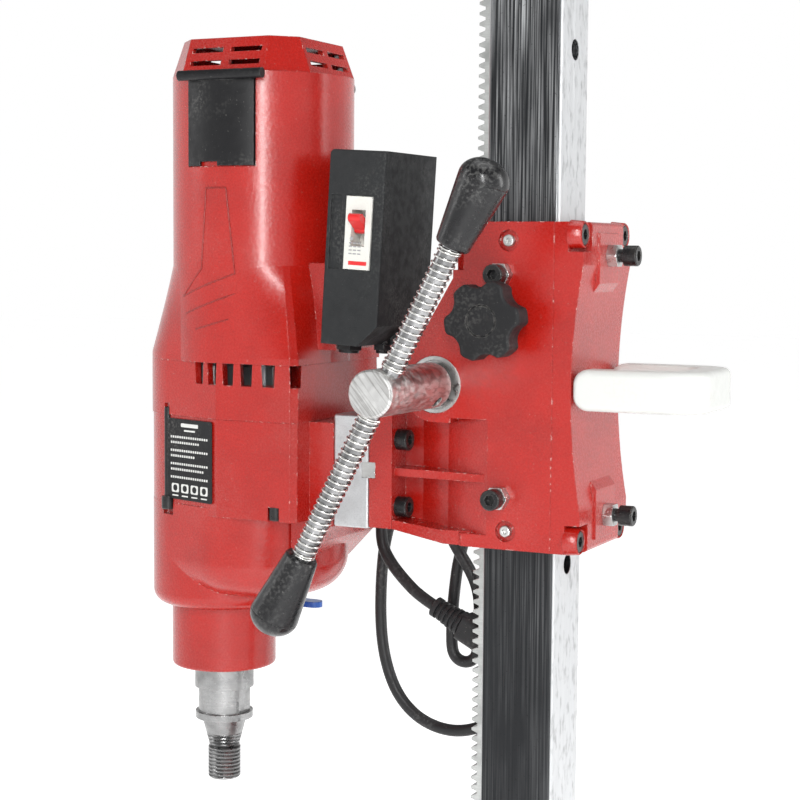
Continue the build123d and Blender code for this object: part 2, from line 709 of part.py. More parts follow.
with BuildPart() as handle_bar:
    with BuildSketch(bar_down_axis.offset(-(bar_up - 12))):
        Circle(bar_d / 2)
    extrude(amount=bar_up - 12 + bar_down - 12)
save(handle_bar, "handle_bar")

# Compression springs on the bar, one each side of the hub, with closed end turns.
spring_starts = hub_d / 2 + 1.0
spring_spans = ((bar_up_axis, bar_up - grip_length), (bar_down_axis, bar_down - grip_length))
with BuildPart() as handle_springs:
    for spring_axis, span_end in spring_spans:
        with BuildSketch(spring_axis.offset(spring_starts)):
            Circle(spring_r + spring_wire / 2)
            Circle(spring_r - spring_wire / 2, mode=Mode.SUBTRACT)
        extrude(amount=span_end - spring_starts - 0.4)
save(handle_springs, "handle_springs")

bar_profile_up = Plane(
    origin=(pinion_x, bar_y, pinion_z), x_dir=(0, 1, 0),
    z_dir=(cos(radians(bar_tilt)), 0, -sin(radians(bar_tilt))),
)
bar_profile_down = Plane(
    origin=(pinion_x, bar_y, pinion_z), x_dir=(0, 1, 0),
    z_dir=(-cos(radians(bar_tilt)), 0, sin(radians(bar_tilt))),
)
with BuildPart() as handle_grips:
    for profile, grip_end in ((bar_profile_up, bar_up), (bar_profile_down, bar_down)):
        start = grip_end - grip_length
        with BuildSketch(profile):
            with BuildLine():
                Polyline(
                    (0, grip_end), (0, grip_end - 11.95), (bar_d / 2 + 0.02, grip_end - 11.95),
                    (bar_d / 2 + 0.02, start), (9.4, start), (10.2, start + 1.2), (14.9, start + 40),
                )
                Spline((14.9, start + 40), (11.6, grip_end - 4.2), (0, grip_end), tangents=[(0.12, 1), (-1, 0)])
            make_face()
        revolve(axis=Axis(profile.origin, profile.y_dir))
save(handle_grips, "handle_grips")

# ================================================================ lock knob

knob_back_y = knob_front_y + knob_thickness
with BuildPart() as lock_knob:
    with BuildSketch(along_y(knob_x, knob_z, knob_back_y)) as knob_outline:
        Circle(24)
        with PolarLocations(29.2, 6, start_angle=38):
            Circle(9.6, mode=Mode.SUBTRACT)
        fillet(knob_outline.vertices(), radius=3.5)
    extrude(amount=knob_thickness)
    fillet(lock_knob.faces().sort_by(Axis.Y)[0].edges(), radius=1.6)
    fillet(lock_knob.faces().sort_by(Axis.Y)[-1].edges(), radius=1.2)
    with BuildSketch(along_y(knob_x, knob_z, knob_back_y + 14)):
        Circle(12)
    extrude(amount=14.2)
    with BuildSketch(along_y(knob_x, knob_z, knob_front_y)):
        Circle(9.6)
        Circle(8.7, mode=Mode.SUBTRACT)
    extrude(amount=-0.7, mode=Mode.SUBTRACT)
    with BuildSketch(along_y(knob_x, knob_z, knob_back_y + 15)):
        Circle(4.99)
    extrude(amount=24, mode=Mode.SUBTRACT)
save(lock_knob, "lock_knob")

with BuildPart() as lock_stud:
    with BuildSketch(along_y(knob_x, knob_z, -30)):
        Circle(4.97)
    extrude(amount=36.6)
    chamfer(lock_stud.edges().sort_by(Axis.Y)[-1], length=0.8)
save(lock_stud, "lock_stud")

# ================================================================ drill motor


def ring_of_arcs(radius, angles):
    """A closed outline of arcs about the motor's axis, with an end at each of the given angles."""
    for first, last in zip(angles, angles[1:] + [angles[0] + 360]):
        ends = [(motor_x + radius * cos(radians(a)), radius * sin(radians(a))) for a in (first, last)]
        middle = radians((first + last) / 2)
        ThreePointArc(ends[0], (motor_x + radius * cos(middle), radius * sin(middle)), ends[1])


def body_plan():
    """Plan of the gear case and middle housing: round spindle lobe, flat sides, flat back."""
    Polyline(
        (-241.3, -45.05), (-194.5, -59.5), (-140, -60), (-136, -56), (-136, 56), (-140, 60), (-194.5, 59.5),
        (-241.3, 45.05),
    )
    ThreePointArc((-241.3, 45.05), (spindle_x - 48, 0), (-241.3, -45.05))


body_corner_angles = [-128, -90.5, -46, -43, 43, 46, 90.5, 128]
bore_r = 54.0
cover_left, cover_right, cover_bottom = -216.6, -169.0, 664.0
lip_y, lip_z = 60.8, 720.6
motor_screw_places = [(-240.5, -44.2), (-240.5, 44.2), (-152, -55.5), (-152, 55.5)]

with BuildPart() as motor_housing:
    with BuildSketch(Plane.XY.offset(seam_z)):
        with BuildLine():
            body_plan()
        make_face()
    extrude(amount=4)
    with BuildSketch(Plane.XY.offset(seam_z + 4)):
        with BuildLine():
            body_plan()
        make_face()
    with BuildSketch(Plane.XY.offset(602)):
        with BuildLine():
            ring_of_arcs(housing_r - 0.3, body_corner_angles)
        make_face()
    loft(ruled=True)
    with BuildSketch(Plane.XY.offset(seam_z)):
        with Locations((motor_x, 0)):
            Circle(housing_r)
    extrude(amount=housing_top - seam_z)
    # pad for the switch box
    with BuildSketch(at_y(-30)):
        with BuildLine():
            Polyline((-150, 548), (-123.34, 548), (-120.27, 603), (-150, 603), close=True)
        make_face()
    extrude(amount=-55)
    with BuildSketch(Plane.XY.offset(seam_z - 1)):
        with Locations((motor_x, 0)):
            Circle(bore_r)
    extrude(amount=housing_top - seam_z + 2, mode=Mode.SUBTRACT)
    # brush plate with the upper bearing's seat, air holes and two brush channels
    with BuildSketch(Plane.XY.offset(676)):
        with Locations((motor_x, 0)):
            Circle(bore_r + 1)
            Circle(17.5, mode=Mode.SUBTRACT)
            with PolarLocations(36, 4, start_angle=45):
                Circle(9, mode=Mode.SUBTRACT)
    extrude(amount=30)
    with BuildSketch(Plane.XY.offset(704)):
        with Locations((motor_x, 0)):
            Circle(24)
            Circle(14.03, mode=Mode.SUBTRACT)
    extrude(amount=12)
    with BuildSketch(Plane.XY.offset(712.2)):
        with Locations((motor_x, 0)):
            Circle(14.5)
    extrude(amount=3.8)
    with BuildSketch(at_y(62)):
        with Locations((motor_x, 686)):
            Rectangle(10.1, 16.1)
    extrude(amount=124, mode=Mode.SUBTRACT)
    # shallow seats and windows under the two brush covers
    for side in (-1, 1):
        with BuildSketch(at_y(side * 66)):
            with Locations((motor_x, 686)):
                Rectangle(20, 26)
        extrude(amount=side * 20, mode=Mode.SUBTRACT)
        with BuildSketch(Plane(origin=(cover_left - 5, side * lip_y, lip_z), x_dir=(0, 1, 0), z_dir=(1, 0, 0))):
            Circle(3.6)
        extrude(amount=cover_right - cover_left + 16, mode=Mode.SUBTRACT)
    for side in (-1, 1):
        with BuildSketch(Plane.XY.offset(cover_bottom - 0.6)):
            with BuildLine():
                ends = [(x, side * sqrt(58.2 ** 2 - (x - motor_x) ** 2)) for x in (cover_left - 0.6, cover_right + 0.6)]
                ThreePointArc(ends[0], (motor_x, side * 58.2), ends[1])
                Polyline(ends[1], (ends[1][0], side * 64), (ends[0][0], side * 64), ends[0])
            make_face()
        extrude(amount=housing_top - cover_bottom, mode=Mode.SUBTRACT)
save(motor_housing, "motor_housing")

# Hinged brush covers: a curved panel with a rolled lip along the top.
for side, cover_name in ((-1, "brush_cover_near"), (1, "brush_cover_far")):
    with BuildPart() as brush_cover:
        with BuildSketch(Plane.XY.offset(cover_bottom)):
            with BuildLine():
                inner = [(x, side * sqrt(58.5 ** 2 - (x - motor_x) ** 2)) for x in (cover_left, cover_right)]
                outer = [(x, side * sqrt(60.6 ** 2 - (x - motor_x) ** 2)) for x in (cover_left, cover_right)]
                ThreePointArc(inner[0], (motor_x, side * 58.5), inner[1])
                Line(inner[1], outer[1])
                ThreePointArc(outer[1], (motor_x, side * 60.6), outer[0])
                Line(outer[0], inner[0])
            make_face()
        extrude(amount=lip_z - cover_bottom - 0.6)
        with BuildSketch(Plane(origin=(cover_left - 4, side * lip_y, lip_z), x_dir=(0, 1, 0), z_dir=(1, 0, 0))):
            Circle(3.2)
        extrude(amount=cover_right - cover_left + 13.5)
        with BuildSketch(at_y(side * 66)):
            with Locations((-199.3, cover_bottom)):
                Rectangle(13.5, 5)
        extrude(amount=side * 10, mode=Mode.SUBTRACT)
    save(brush_cover, cover_name)

# Vent cap: a hollow eight-sided frustum with two rows of two slots in each wide face.
with BuildPart() as vent_cap:
    for inset, bottom, top, mode in (
        (0, housing_top, cap_top, Mode.ADD), (3, housing_top - 1, cap_top - 3, Mode.SUBTRACT),
    ):
        for z, half, wide in ((bottom, 51.5, 30.0), (top, 43.0, 29.0)):
            flat = half - inset
            with BuildSketch(Plane(origin=(motor_x, 0, z), x_dir=(1, 0, 0), z_dir=(0, 0, 1))):
                with BuildLine():
                    Polyline(
                        (wide, -flat), (flat, -wide), (flat, wide), (wide, flat), (-wide, flat), (-flat, wide),
                        (-flat, -wide), (-wide, -flat), close=True,
                    )
                make_face()
        loft(ruled=True, mode=mode)
    for row_z in (729.2, 737.6):
        for turn in range(4):
            outward = (cos(turn * pi / 2), sin(turn * pi / 2), 0)
            with BuildSketch(Plane(origin=(motor_x, 0, row_z), x_dir=(0, 0, 1), z_dir=outward)):
                with Locations((0, -14.2), (0, 14.2)):
                    Rectangle(3.0, 22.5)
            extrude(amount=60, mode=Mode.SUBTRACT)
save(vent_cap, "vent_cap")

# Middle housing: fan chamber with tapered air slots, and the lower motor bearing's seat in its floor.
slot_angles = [-106 + 12.2 * k for k in range(6)] + [106 - 12.2 * k for k in range(6)]
layshaft = (-206.85, 26.56)
with BuildPart() as middle_housing:
    with BuildSketch(Plane.XY.offset(gear_seam_z)):
        with BuildLine():
            body_plan()
        make_face()
    extrude(amount=seam_z - gear_seam_z)
    with BuildSketch(Plane.XY.offset(512)):
        with Locations((motor_x, 0)):
            Circle(52)
        with Locations((spindle_x, 0)):
            Circle(42)
    extrude(amount=seam_z, mode=Mode.SUBTRACT)
    with BuildSketch(Plane.XY.offset(gear_seam_z)):
        with Locations((motor_x, 0)):
            Circle(23)
    extrude(amount=13.5)
    with BuildSketch(Plane.XY.offset(gear_seam_z - 1)):
        with Locations((motor_x, 0)):
            Circle(17.53)
    extrude(amount=12.1, mode=Mode.SUBTRACT)
    with BuildSketch(Plane.XY.offset(gear_seam_z)):
        with Locations((motor_x, 0)):
            Circle(12)
    extrude(amount=20, mode=Mode.SUBTRACT)
    with BuildSketch(Plane.XY.offset(gear_seam_z)):
        with Locations(layshaft):
            Circle(5.05)
        with Locations(motor_screw_places):
            Circle(2.52)
    extrude(amount=7.6, mode=Mode.SUBTRACT)
    for angle in slot_angles:
        slot_plane = Plane(
            origin=(motor_x, 0, 0), x_dir=(-sin(radians(angle)), cos(radians(angle)), 0),
            z_dir=(cos(radians(angle)), sin(radians(angle)), 0),
        )
        with BuildSketch(slot_plane.offset(44)):
            with BuildLine():
                Polyline((-3.5, 525), (3.5, 525), (4.2, seam_z + 1), (-4.2, seam_z + 1), close=True)
            make_face()
        extrude(amount=40, mode=Mode.SUBTRACT)
save(middle_housing, "middle_housing")

# Gear case: flat-sided upper part, round spindle lobe below, mounting pad and gusset towards the stand.
with BuildPart() as gearbox_housing:
    with BuildSketch(Plane.XY.offset(gear_case_bottom + 11)):
        with Locations((spindle_x, 0)):
            Circle(47.5)
        with Locations((motor_x, 0)):
            Circle(57)
        make_hull()
    extrude(amount=60)
    fillet(gearbox_housing.edges().group_by(Axis.Z)[0], radius=24)
    with BuildSketch(Plane.XY.offset(gear_case_bottom)):
        with Locations((spindle_x, 0)):
            Circle(47.5)
    extrude(amount=66)
    fillet(gearbox_housing.edges().group_by(Axis.Z)[0], radius=9)
    with BuildSketch(Plane.XY.offset(440)):
        with BuildLine():
            body_plan()
        make_face()
        offset(amount=-0.7)
    extrude(amount=gear_seam_z - 440)
    with BuildSketch(Plane.XZ):
        with BuildLine():
            Polyline(
                (-150, 437), (spacer_front, 437), (spacer_front, 502.8), (-150, 502.8), close=True,
            )
        make_face()
        with BuildLine():
            Polyline((-150, 405), (-131, 425), (-121, 437.2), (-150, 437.2), close=True)
        make_face()
    extrude(amount=40, both=True)
    # gear chamber and shaft bores
    with BuildSketch(Plane.XY.offset(442)):
        with Locations((spindle_x, 0)):
            Circle(28)
        with Locations(layshaft):
            Circle(26.6)
        with Locations((motor_x, 0)):
            Circle(12)
    extrude(amount=70, mode=Mode.SUBTRACT)
    for bore_bottom, bore_top, r in (
        (gear_case_bottom - 1, 386.1, 23.53), (380, 450, 20.5), (429.9, 450, 23.53),
    ):
        with BuildSketch(Plane.XY.offset(bore_bottom)):
            with Locations((spindle_x, 0)):
                Circle(r)
        extrude(amount=bore_top - bore_bottom, mode=Mode.SUBTRACT)
    with BuildSketch(Plane.XY.offset(430)):
        with Locations(layshaft):
            Circle(5.05)
    extrude(amount=20, mode=Mode.SUBTRACT)
    for x, y in motor_screw_places:
        with BuildSketch(Plane.XY.offset(437)):
            with Locations((x, y)):
                Circle(5.4)
        extrude(amount=12, mode=Mode.SUBTRACT)
        with BuildSketch(Plane.XY.offset(440)):
            with Locations((x, y)):
                Circle(2.55)
        extrude(amount=70, mode=Mode.SUBTRACT)
    with BuildSketch(Plane.XY.offset(gear_case_bottom)):
        with Locations((spindle_x, 0)):
            with PolarLocations(29, 4, start_angle=45):
                Circle(2.02)
    extrude(amount=8, mode=Mode.SUBTRACT)
save(gearbox_housing, "gearbox_housing")

case_screw = socket_screw(5.0, 59.0, 9.0, 8.5, 4.0)
collar_screw = socket_screw(4.0, 45.0, 7.0, 4.0, 3.0)
with BuildPart() as motor_screws:
    for x, y in motor_screw_places:
        with Locations(Plane(origin=(x, y, 449), x_dir=(1, 0, 0), z_dir=(0, 0, -1))):
            add(case_screw)
    for k in range(4):
        angle = radians(45 + 90 * k)
        spot = (spindle_x + 29 * cos(angle), 29 * sin(angle), collar_bottom + 5)
        with Locations(Plane(origin=spot, x_dir=(1, 0, 0), z_dir=(0, 0, -1))):
            add(collar_screw)
save(motor_screws, "motor_screws")

# Water collar: feeds water into the hollow spindle through a side port on the far side.
valve_z = 352.0
with BuildPart() as water_collar:
    with BuildSketch(Plane.XY.offset(collar_bottom)):
        with Locations((spindle_x, 0)):
            Circle(collar_r)
            Circle(20.4, mode=Mode.SUBTRACT)
    extrude(amount=gear_case_bottom - collar_bottom - 0.05)
    fillet(water_collar.edges().group_by(Axis.Z)[0].sort_by(SortBy.LENGTH)[-1], radius=2)
    for depth, r in ((5, 3.6), (60, 2.05)):
        with BuildSketch(Plane.XY.offset(collar_bottom)):
            with Locations((spindle_x, 0)):
                with PolarLocations(29, 4, start_angle=45):
                    Circle(r)
        extrude(amount=depth, mode=Mode.SUBTRACT)
    with BuildSketch(at_y(20)):
        with Locations((spindle_x, valve_z)):
            Circle(6.52)
    extrude(amount=-20, mode=Mode.SUBTRACT)
save(water_collar, "water_collar")

# Brass water valve on the collar's far side, with a quarter-turn lever.
lever_axis_y = 52.0
with BuildPart() as water_valve:
    with BuildSketch(at_y(27)):
        with Locations((spindle_x, valve_z)):
            Circle(6.5)
    extrude(amount=-12)
    with BuildSketch(at_y(collar_r + 1)):
        with Locations((spindle_x, valve_z)):
            RegularPolygon(8.5, 6, major_radius=False)
    extrude(amount=-8)
    with BuildSketch(at_y(43)):
        with Locations((spindle_x, valve_z)):
            Circle(8)
    extrude(amount=-18)
    with BuildSketch(Plane(origin=(spindle_x, lever_axis_y, valve_z), x_dir=(1, 0, 0), z_dir=(0, 0, 1))):
        Circle(5.5)
    extrude(amount=11)
    with BuildSketch(Plane(origin=(spindle_x, lever_axis_y, valve_z + 11), x_dir=(1, 0, 0), z_dir=(0, 0, 1))):
        Circle(2)
    extrude(amount=5)
    with BuildSketch(at_y(61)):
        with Locations((spindle_x, valve_z)):
            Circle(6.6)
            Circle(3.5, mode=Mode.SUBTRACT)
    extrude(amount=-14)
save(water_valve, "water_valve")

with BuildPart() as water_lever:
    with BuildSketch(Plane.XY.offset(valve_z + 11.4)):
        with Locations((spindle_x + 20, lever_axis_y)):
            SlotOverall(54, 11)
        with Locations((spindle_x, lever_axis_y)):
            Circle(7)
            Circle(2.05, mode=Mode.SUBTRACT)
    extrude(amount=4)
save(water_lever, "water_lever")

# ---------------------------------------------------------------- inside the motor
with BuildPart() as stator:
    with BuildSketch(Plane.XY.offset(585)):
        with Locations((motor_x, 0)):
            Circle(bore_r - 0.05)
            Circle(33, mode=Mode.SUBTRACT)
    extrude(amount=75)
save(stator, "stator")

with BuildPart() as carbon_brushes:
    for side in (-1, 1):
        with BuildSketch(at_y(side * 16.4)):
            with Locations((motor_x, 686)):
                Rectangle(10, 16)
        extrude(amount=-side * 26)
save(carbon_brushes, "carbon_brushes")

with BuildPart() as armature_shaft:
    with BuildSketch(Plane(origin=(motor_x, 0, 0), x_dir=(1, 0, 0), z_dir=(0, -1, 0))):
        with BuildLine():
            Polyline(
                (0, 500), (7.48, 500), (7.48, 516), (9, 516), (9, 703.5), (5.98, 703.5), (5.98, 712), (0, 712),
                close=True,
            )
        make_face()
    revolve(axis=Axis((motor_x, 0, 0), (0, 0, 1)))
    with BuildSketch(Plane(origin=(motor_x, 0, 467.5), x_dir=(1, 0, 0), z_dir=(0, 0, 1))):
        with BuildLine():
            Polyline(*involute_outline(11, 1.0, 0.95, 1.2, 0.15), close=True)
        make_face()
    extrude(amount=32.5)
save(armature_shaft, "armature_shaft")

with BuildPart() as armature_core:
    with BuildSketch(Plane.XY.offset(588)):
        with Locations((motor_x, 0)):
            Circle(32)
            Circle(9.02, mode=Mode.SUBTRACT)
            with PolarLocations(31, 12):
                Rectangle(4, 2.4, mode=Mode.SUBTRACT)
    extrude(amount=69)
save(armature_core, "armature_core")

with BuildPart() as commutator:
    with BuildSketch(Plane.XY.offset(672)):
        with Locations((motor_x, 0)):
            Circle(16)
            Circle(9.02, mode=Mode.SUBTRACT)
    extrude(amount=28)
save(commutator, "commutator")

with BuildPart() as cooling_fan:
    with BuildSketch(Plane.XY.offset(518)):
        with Locations((motor_x, 0)):
            Circle(48)
            Circle(9.02, mode=Mode.SUBTRACT)
    extrude(amount=2.5)
    with BuildSketch(Plane.XY.offset(520.4)):
        with Locations((motor_x, 0)):
            Circle(14)
            Circle(9.02, mode=Mode.SUBTRACT)
    extrude(amount=14)
    with BuildSketch(Plane.XY.offset(520.4)):
        with Locations((motor_x, 0)):
            with PolarLocations(31, 14):
                Rectangle(33, 2)
    extrude(amount=15.6)
save(cooling_fan, "cooling_fan")

# Ball bearings, drawn as plain rings: two on the armature, two on the spindle.
bearing_places = [
    ((motor_x, 0, 704), 14, 6, 8), ((motor_x, 0, 503.1), 17.5, 7.5, 11),
    ((spindle_x, 0, 430), 23.5, 12.5, 12), ((spindle_x, 0, 374.1), 23.5, 12.5, 12),
]
with BuildPart() as motor_bearings:
    for centre, outer_r, inner_r, width in bearing_places:
        with BuildSketch(Plane(origin=centre, x_dir=(1, 0, 0), z_dir=(0, 0, 1))):
            Circle(outer_r)
            Circle(inner_r + 0.02, mode=Mode.SUBTRACT)
        extrude(amount=width)
save(motor_bearings, "motor_bearings")

# First reduction 11:48 and second reduction 14:50, on a layshaft beside the two main axes.
first_turn = meshing_turn((motor_x, 0), 0, 11, layshaft, 48)
second_turn = meshing_turn((spindle_x, 0), 0, 50, layshaft, 14)
with BuildPart() as intermediate_gear:
    for z, teeth, width, turn in ((444, 14, 24, second_turn), (470, 48, 12, first_turn)):
        with BuildSketch(Plane(origin=(*layshaft, z), x_dir=(cos(turn), sin(turn), 0), z_dir=(0, 0, 1))):
            with BuildLine():
                Polyline(*involute_outline(teeth, 1.0, 0.95, 1.2, 0.15), close=True)
            make_face()
        extrude(amount=width)
    for z, r, width in ((430.3, 5.0, 79.5), (443, 5.9, 50)):
        with BuildSketch(Plane(origin=(*layshaft, z), x_dir=(1, 0, 0), z_dir=(0, 0, 1))):
            Circle(r)
        extrude(amount=width)
save(intermediate_gear, "intermediate_gear")

with BuildPart() as spindle:
    with BuildSketch(Plane(origin=(spindle_x, 0, 0), x_dir=(1, 0, 0), z_dir=(0, -1, 0))):
        with BuildLine():
            Polyline(
                (4, spindle_nose_z), (10.2, spindle_nose_z), (11, spindle_nose_z + 1.2), (11, 272.2), (10.4, 272.6),
                (10.4, 274.6), (15, 292), (15, 293), (19.5, 293), (19.5, 297.5), (17.5, 297.5), (17.5, 314.6),
                (20, 314.6), (20, 372.4), (12.48, 372.4), (12.48, 465.5), (0, 465.5), (0, 362), (4, 362), close=True,
            )
        make_face()
    revolve(axis=Axis((spindle_x, 0, 0), (0, 0, 1)))
    for side in (-1, 1):
        with BuildSketch(Plane.XY.offset(297.5)):
            with Locations((spindle_x + side * 19, 0)):
                Rectangle(6, 40)
        extrude(amount=17.1, mode=Mode.SUBTRACT)
    with BuildSketch(at_y(19.9)):
        with Locations((spindle_x, valve_z)):
            Circle(3)
    extrude(amount=39.8, mode=Mode.SUBTRACT)
save(spindle, "spindle")

with BuildPart() as spindle_gear:
    with BuildSketch(Plane(origin=(spindle_x, 0, 446), x_dir=(1, 0, 0), z_dir=(0, 0, 1))):
        with BuildLine():
            Polyline(*involute_outline(50, 1.0, 0.95, 1.2, 0.15), close=True)
        make_face()
        Circle(12.5, mode=Mode.SUBTRACT)
    extrude(amount=18)
save(spindle_gear, "spindle_gear")

# ================================================================ switch box

lean = radians(box_lean)
box_plane = Plane(origin=box_mid, x_dir=(cos(lean), 0, -sin(lean)), z_dir=(sin(lean), 0, cos(lean)))
box_front = Plane(
    origin=box_plane.from_local_coords((0, -box_size[1] / 2, 0)), x_dir=box_plane.x_dir, z_dir=(0, -1, 0),
)
breaker_x, breaker_z, breaker_width, breaker_height = 3.2, 9.5, 18.0, 45.0
with BuildPart() as switch_box:
    with BuildSketch(box_plane.offset(-box_size[2] / 2)):
        Rectangle(box_size[0], box_size[1])
    extrude(amount=box_size[2])
    fillet(switch_box.edges().filter_by(Axis.Y).group_by(Axis.Z)[-1], radius=3)
    upright = switch_box.edges().filter_by(lambda e: abs(e.tangent_at(0.5).Y) < 0.1 and e.length > 60)
    fillet(upright, radius=1.5)
    with BuildSketch(box_front.offset(1)):
        with BuildLine():
            Polyline((20, -46.5), (20, -61), (6, -61), (6.5, -60), close=True)
        make_face()
    extrude(amount=-40, mode=Mode.SUBTRACT)
    with BuildSketch(box_front.offset(-2.5)):
        with BuildLine():
            Polyline((-17, -57.5), (3, -57.5), (17, -44), (17, 57.5), (-17, 57.5), close=True)
        make_face()
    extrude(amount=-(box_size[1] - 5), mode=Mode.SUBTRACT)
    with BuildSketch(box_front.offset(1)):
        with Locations((breaker_x, breaker_z)):
            Rectangle(breaker_width + 0.6, breaker_height + 0.6)
    extrude(amount=-6, mode=Mode.SUBTRACT)
    with BuildSketch(box_front):
        with Locations((-12.8, breaker_z)):
            Rectangle(7.6, breaker_height + 1)
    extrude(amount=-1.2, mode=Mode.SUBTRACT)
    with BuildSketch(box_plane.offset(-box_size[2] / 2)):
        with Locations((-9.5, -16)):
            Circle(6.5)
        with Locations((5.5, 2)):
            Circle(4.5)
    extrude(amount=4, mode=Mode.SUBTRACT)
save(switch_box, "switch_box")

# Two-pole miniature breaker, 18 mm wide, behind the window.
with BuildPart() as breaker_body:
    with BuildSketch(box_front.offset(0.8)):
        with Locations((breaker_x, breaker_z)):
            Rectangle(breaker_width - 0.2, breaker_height - 0.2)
    extrude(amount=-46)
    with BuildSketch(box_front.offset(-6.2)):
        with Locations((breaker_x, breaker_z)):
            Rectangle(breaker_width - 0.4, 84)
    extrude(amount=-38)
    with BuildSketch(box_front.offset(1)):
        with Locations((breaker_x, breaker_z + 3)):
            Rectangle(9.4, 22)
    extrude(amount=-14, mode=Mode.SUBTRACT)
save(breaker_body, "breaker_body")

toggle_pivot = box_front.from_local_coords((breaker_x, breaker_z + 3, -5.5))
with BuildPart() as breaker_toggle:
    toggle_plane = Plane(origin=toggle_pivot, x_dir=(0, -1, 0), z_dir=box_plane.x_dir)
    with BuildSketch(toggle_plane.offset(-4.2)):
        Circle(3.4)
        with Locations(Location((0, 0), -32 if toggle_plane.y_dir.Z < 0 else 32)):
            with Locations((7.4, 0)):
                SlotOverall(14, 5)
    extrude(amount=8.4)
save(breaker_toggle, "breaker_toggle")

# Glands under the switch box for the motor lead and the earth lead, and the boot of the power cord.
boot_start_y, boot_end_y, boot_x, boot_z = 21.0, 46.0, -110.0, 602.0
with BuildPart() as cable_glands:
    for x, y, r in ((-9.5, -16, 6.45), (5.5, 2, 4.45)):
        with BuildSketch(box_plane.offset(-box_size[2] / 2 + 4)):
            with Locations((x, y)):
                Circle(r)
        extrude(amount=-10)
        with BuildSketch(box_plane.offset(-box_size[2] / 2 - 0.1)):
            with Locations((x, y)):
                RegularPolygon(r + 1.2, 6, major_radius=False)
        extrude(amount=-4)
    with BuildSketch(Plane(origin=(boot_x, boot_start_y, boot_z), x_dir=(1, 0, 0), z_dir=(0, 1, 0))):
        Circle(8.5)
    with BuildSketch(Plane(origin=(boot_x, boot_end_y, boot_z), x_dir=(1, 0, 0), z_dir=(0, 1, 0))):
        Circle(5.2)
    loft()
save(cable_glands, "cable_glands")

# ================================================================ power cord

cord_d = 8.0
cord_points = [
    (-110, 46, 602), (-110, 58, 602), (-113, 67, 592), (-117, 71, 570), (-119, 69, 545), (-118, 65, 518),
    (-117, 62, 492), (-119, 61, 465), (-125, 60, 438), (-132, 58, 412), (-134.4, 58, 385), (-134.6, 58, 355),
    (-130.5, 57, 330), (-120.8, 56, 308), (-105.5, 55, 294), (-87, 55, 287.5), (-68, 54, 288.5), (-49, 53, 297),
    (-32, 54, 311), (-15, 56, 332), (-4, 57, 361), (-1, 58, 395), (-5, 58, 427), (-16, 58.5, 450), (-33, 59, 461),
    (-50, 59, 454), (-67, 58.5, 434), (-76, 58, 407), (-79.6, 58, 379), (-80.8, 58, 356),
    (-80, 57.5, 341), (-74.4, 57.2, 335.5), (-66.6, 57, 335.5), (-61, 56.8, 341), (-60.2, 56.5, 354),
    (-59.3, 56.2, 370), (-60, 55, 385), (-65, 53.8, 398), (-73, 52, 410.5), (-81, 50.5, 425), (-87, 49.7, 441),
    (-91.5, 49.5, 458), (-95, 49.5, 471), (-103, 49.5, 482), (-115, 49.5, 482), (-124, 49.5, 474),
    (-127.5, 49.3, 460), (-128.5, 49, 443), (-130, 48.6, 428), (-128.5, 47.3, 411.5), (-120.5, 45.5, 400),
    (-109, 43.5, 389.5), (-97.4, 42, 380.6), (-85.25, 41.2, 374.8),
]


def corner_radii(points):
    """The radius of each corner's arc: as large as its shorter neighbouring run allows."""
    radii = []
    for before, corner, after in zip(points, points[1:], points[2:]):
        run_in = Vector(*corner) - Vector(*before)
        run_out = Vector(*after) - Vector(*corner)
        half_turn = radians(run_in.get_angle(run_out)) / 2
        radii.append(0.45 * min(run_in.length, run_out.length) / tan(half_turn))
    return radii


cord_radii = corner_radii(cord_points)
with BuildPart() as power_cord:
    with BuildLine() as cord_path:
        FilletPolyline(*cord_points, radius=cord_radii)
    with BuildSketch(Plane(origin=cord_path.line @ 0, z_dir=cord_path.line % 0)):
        Circle(cord_d / 2)
    sweep()
print("cord radii", [round(r, 1) for r in cord_radii])
cord_length = sum(edge.length for edge in cord_path.edges())
print("cord length", round(cord_length, 1), "mm")
print("cord volume ratio", round(power_cord.part.volume / (cord_length * pi * cord_d ** 2 / 4), 4))
save(power_cord, "power_cord")

# Moulded three-pin plug with a ribbed strain relief.
plug_direction = (Vector(*cord_points[-1]) - Vector(*cord_points[-2])).normalized()
plug_plane = Plane(origin=cord_points[-1], x_dir=(0, 1, 0), z_dir=plug_direction)
with BuildPart() as power_plug:
    with BuildSketch(plug_plane):
        Circle(7)
    extrude(amount=3.5)
    with BuildSketch(plug_plane.offset(3.4)):
        Circle(5)
    with BuildSketch(plug_plane.offset(25)):
        Circle(7.6)
    loft()
    for rib in range(5):
        with BuildSketch(plug_plane.offset(5.6 + 3.9 * rib)):
            Circle(6.9 + 0.45 * rib)
        extrude(amount=1.9)
    with BuildSketch(plug_plane.offset(24)):
        RectangleRounded(17, 19, 4)
    extrude(amount=38)
    for x, y, turn in ((0, 5.5, 90), (-4.6, -3.5, 35), (4.6, -3.5, -35)):
        with BuildSketch(plug_plane.offset(61.9)):
            with Locations(Location((x, y), turn)):
                Rectangle(1.6, 6)
        extrude(amount=17)
save(power_plug, "power_plug")

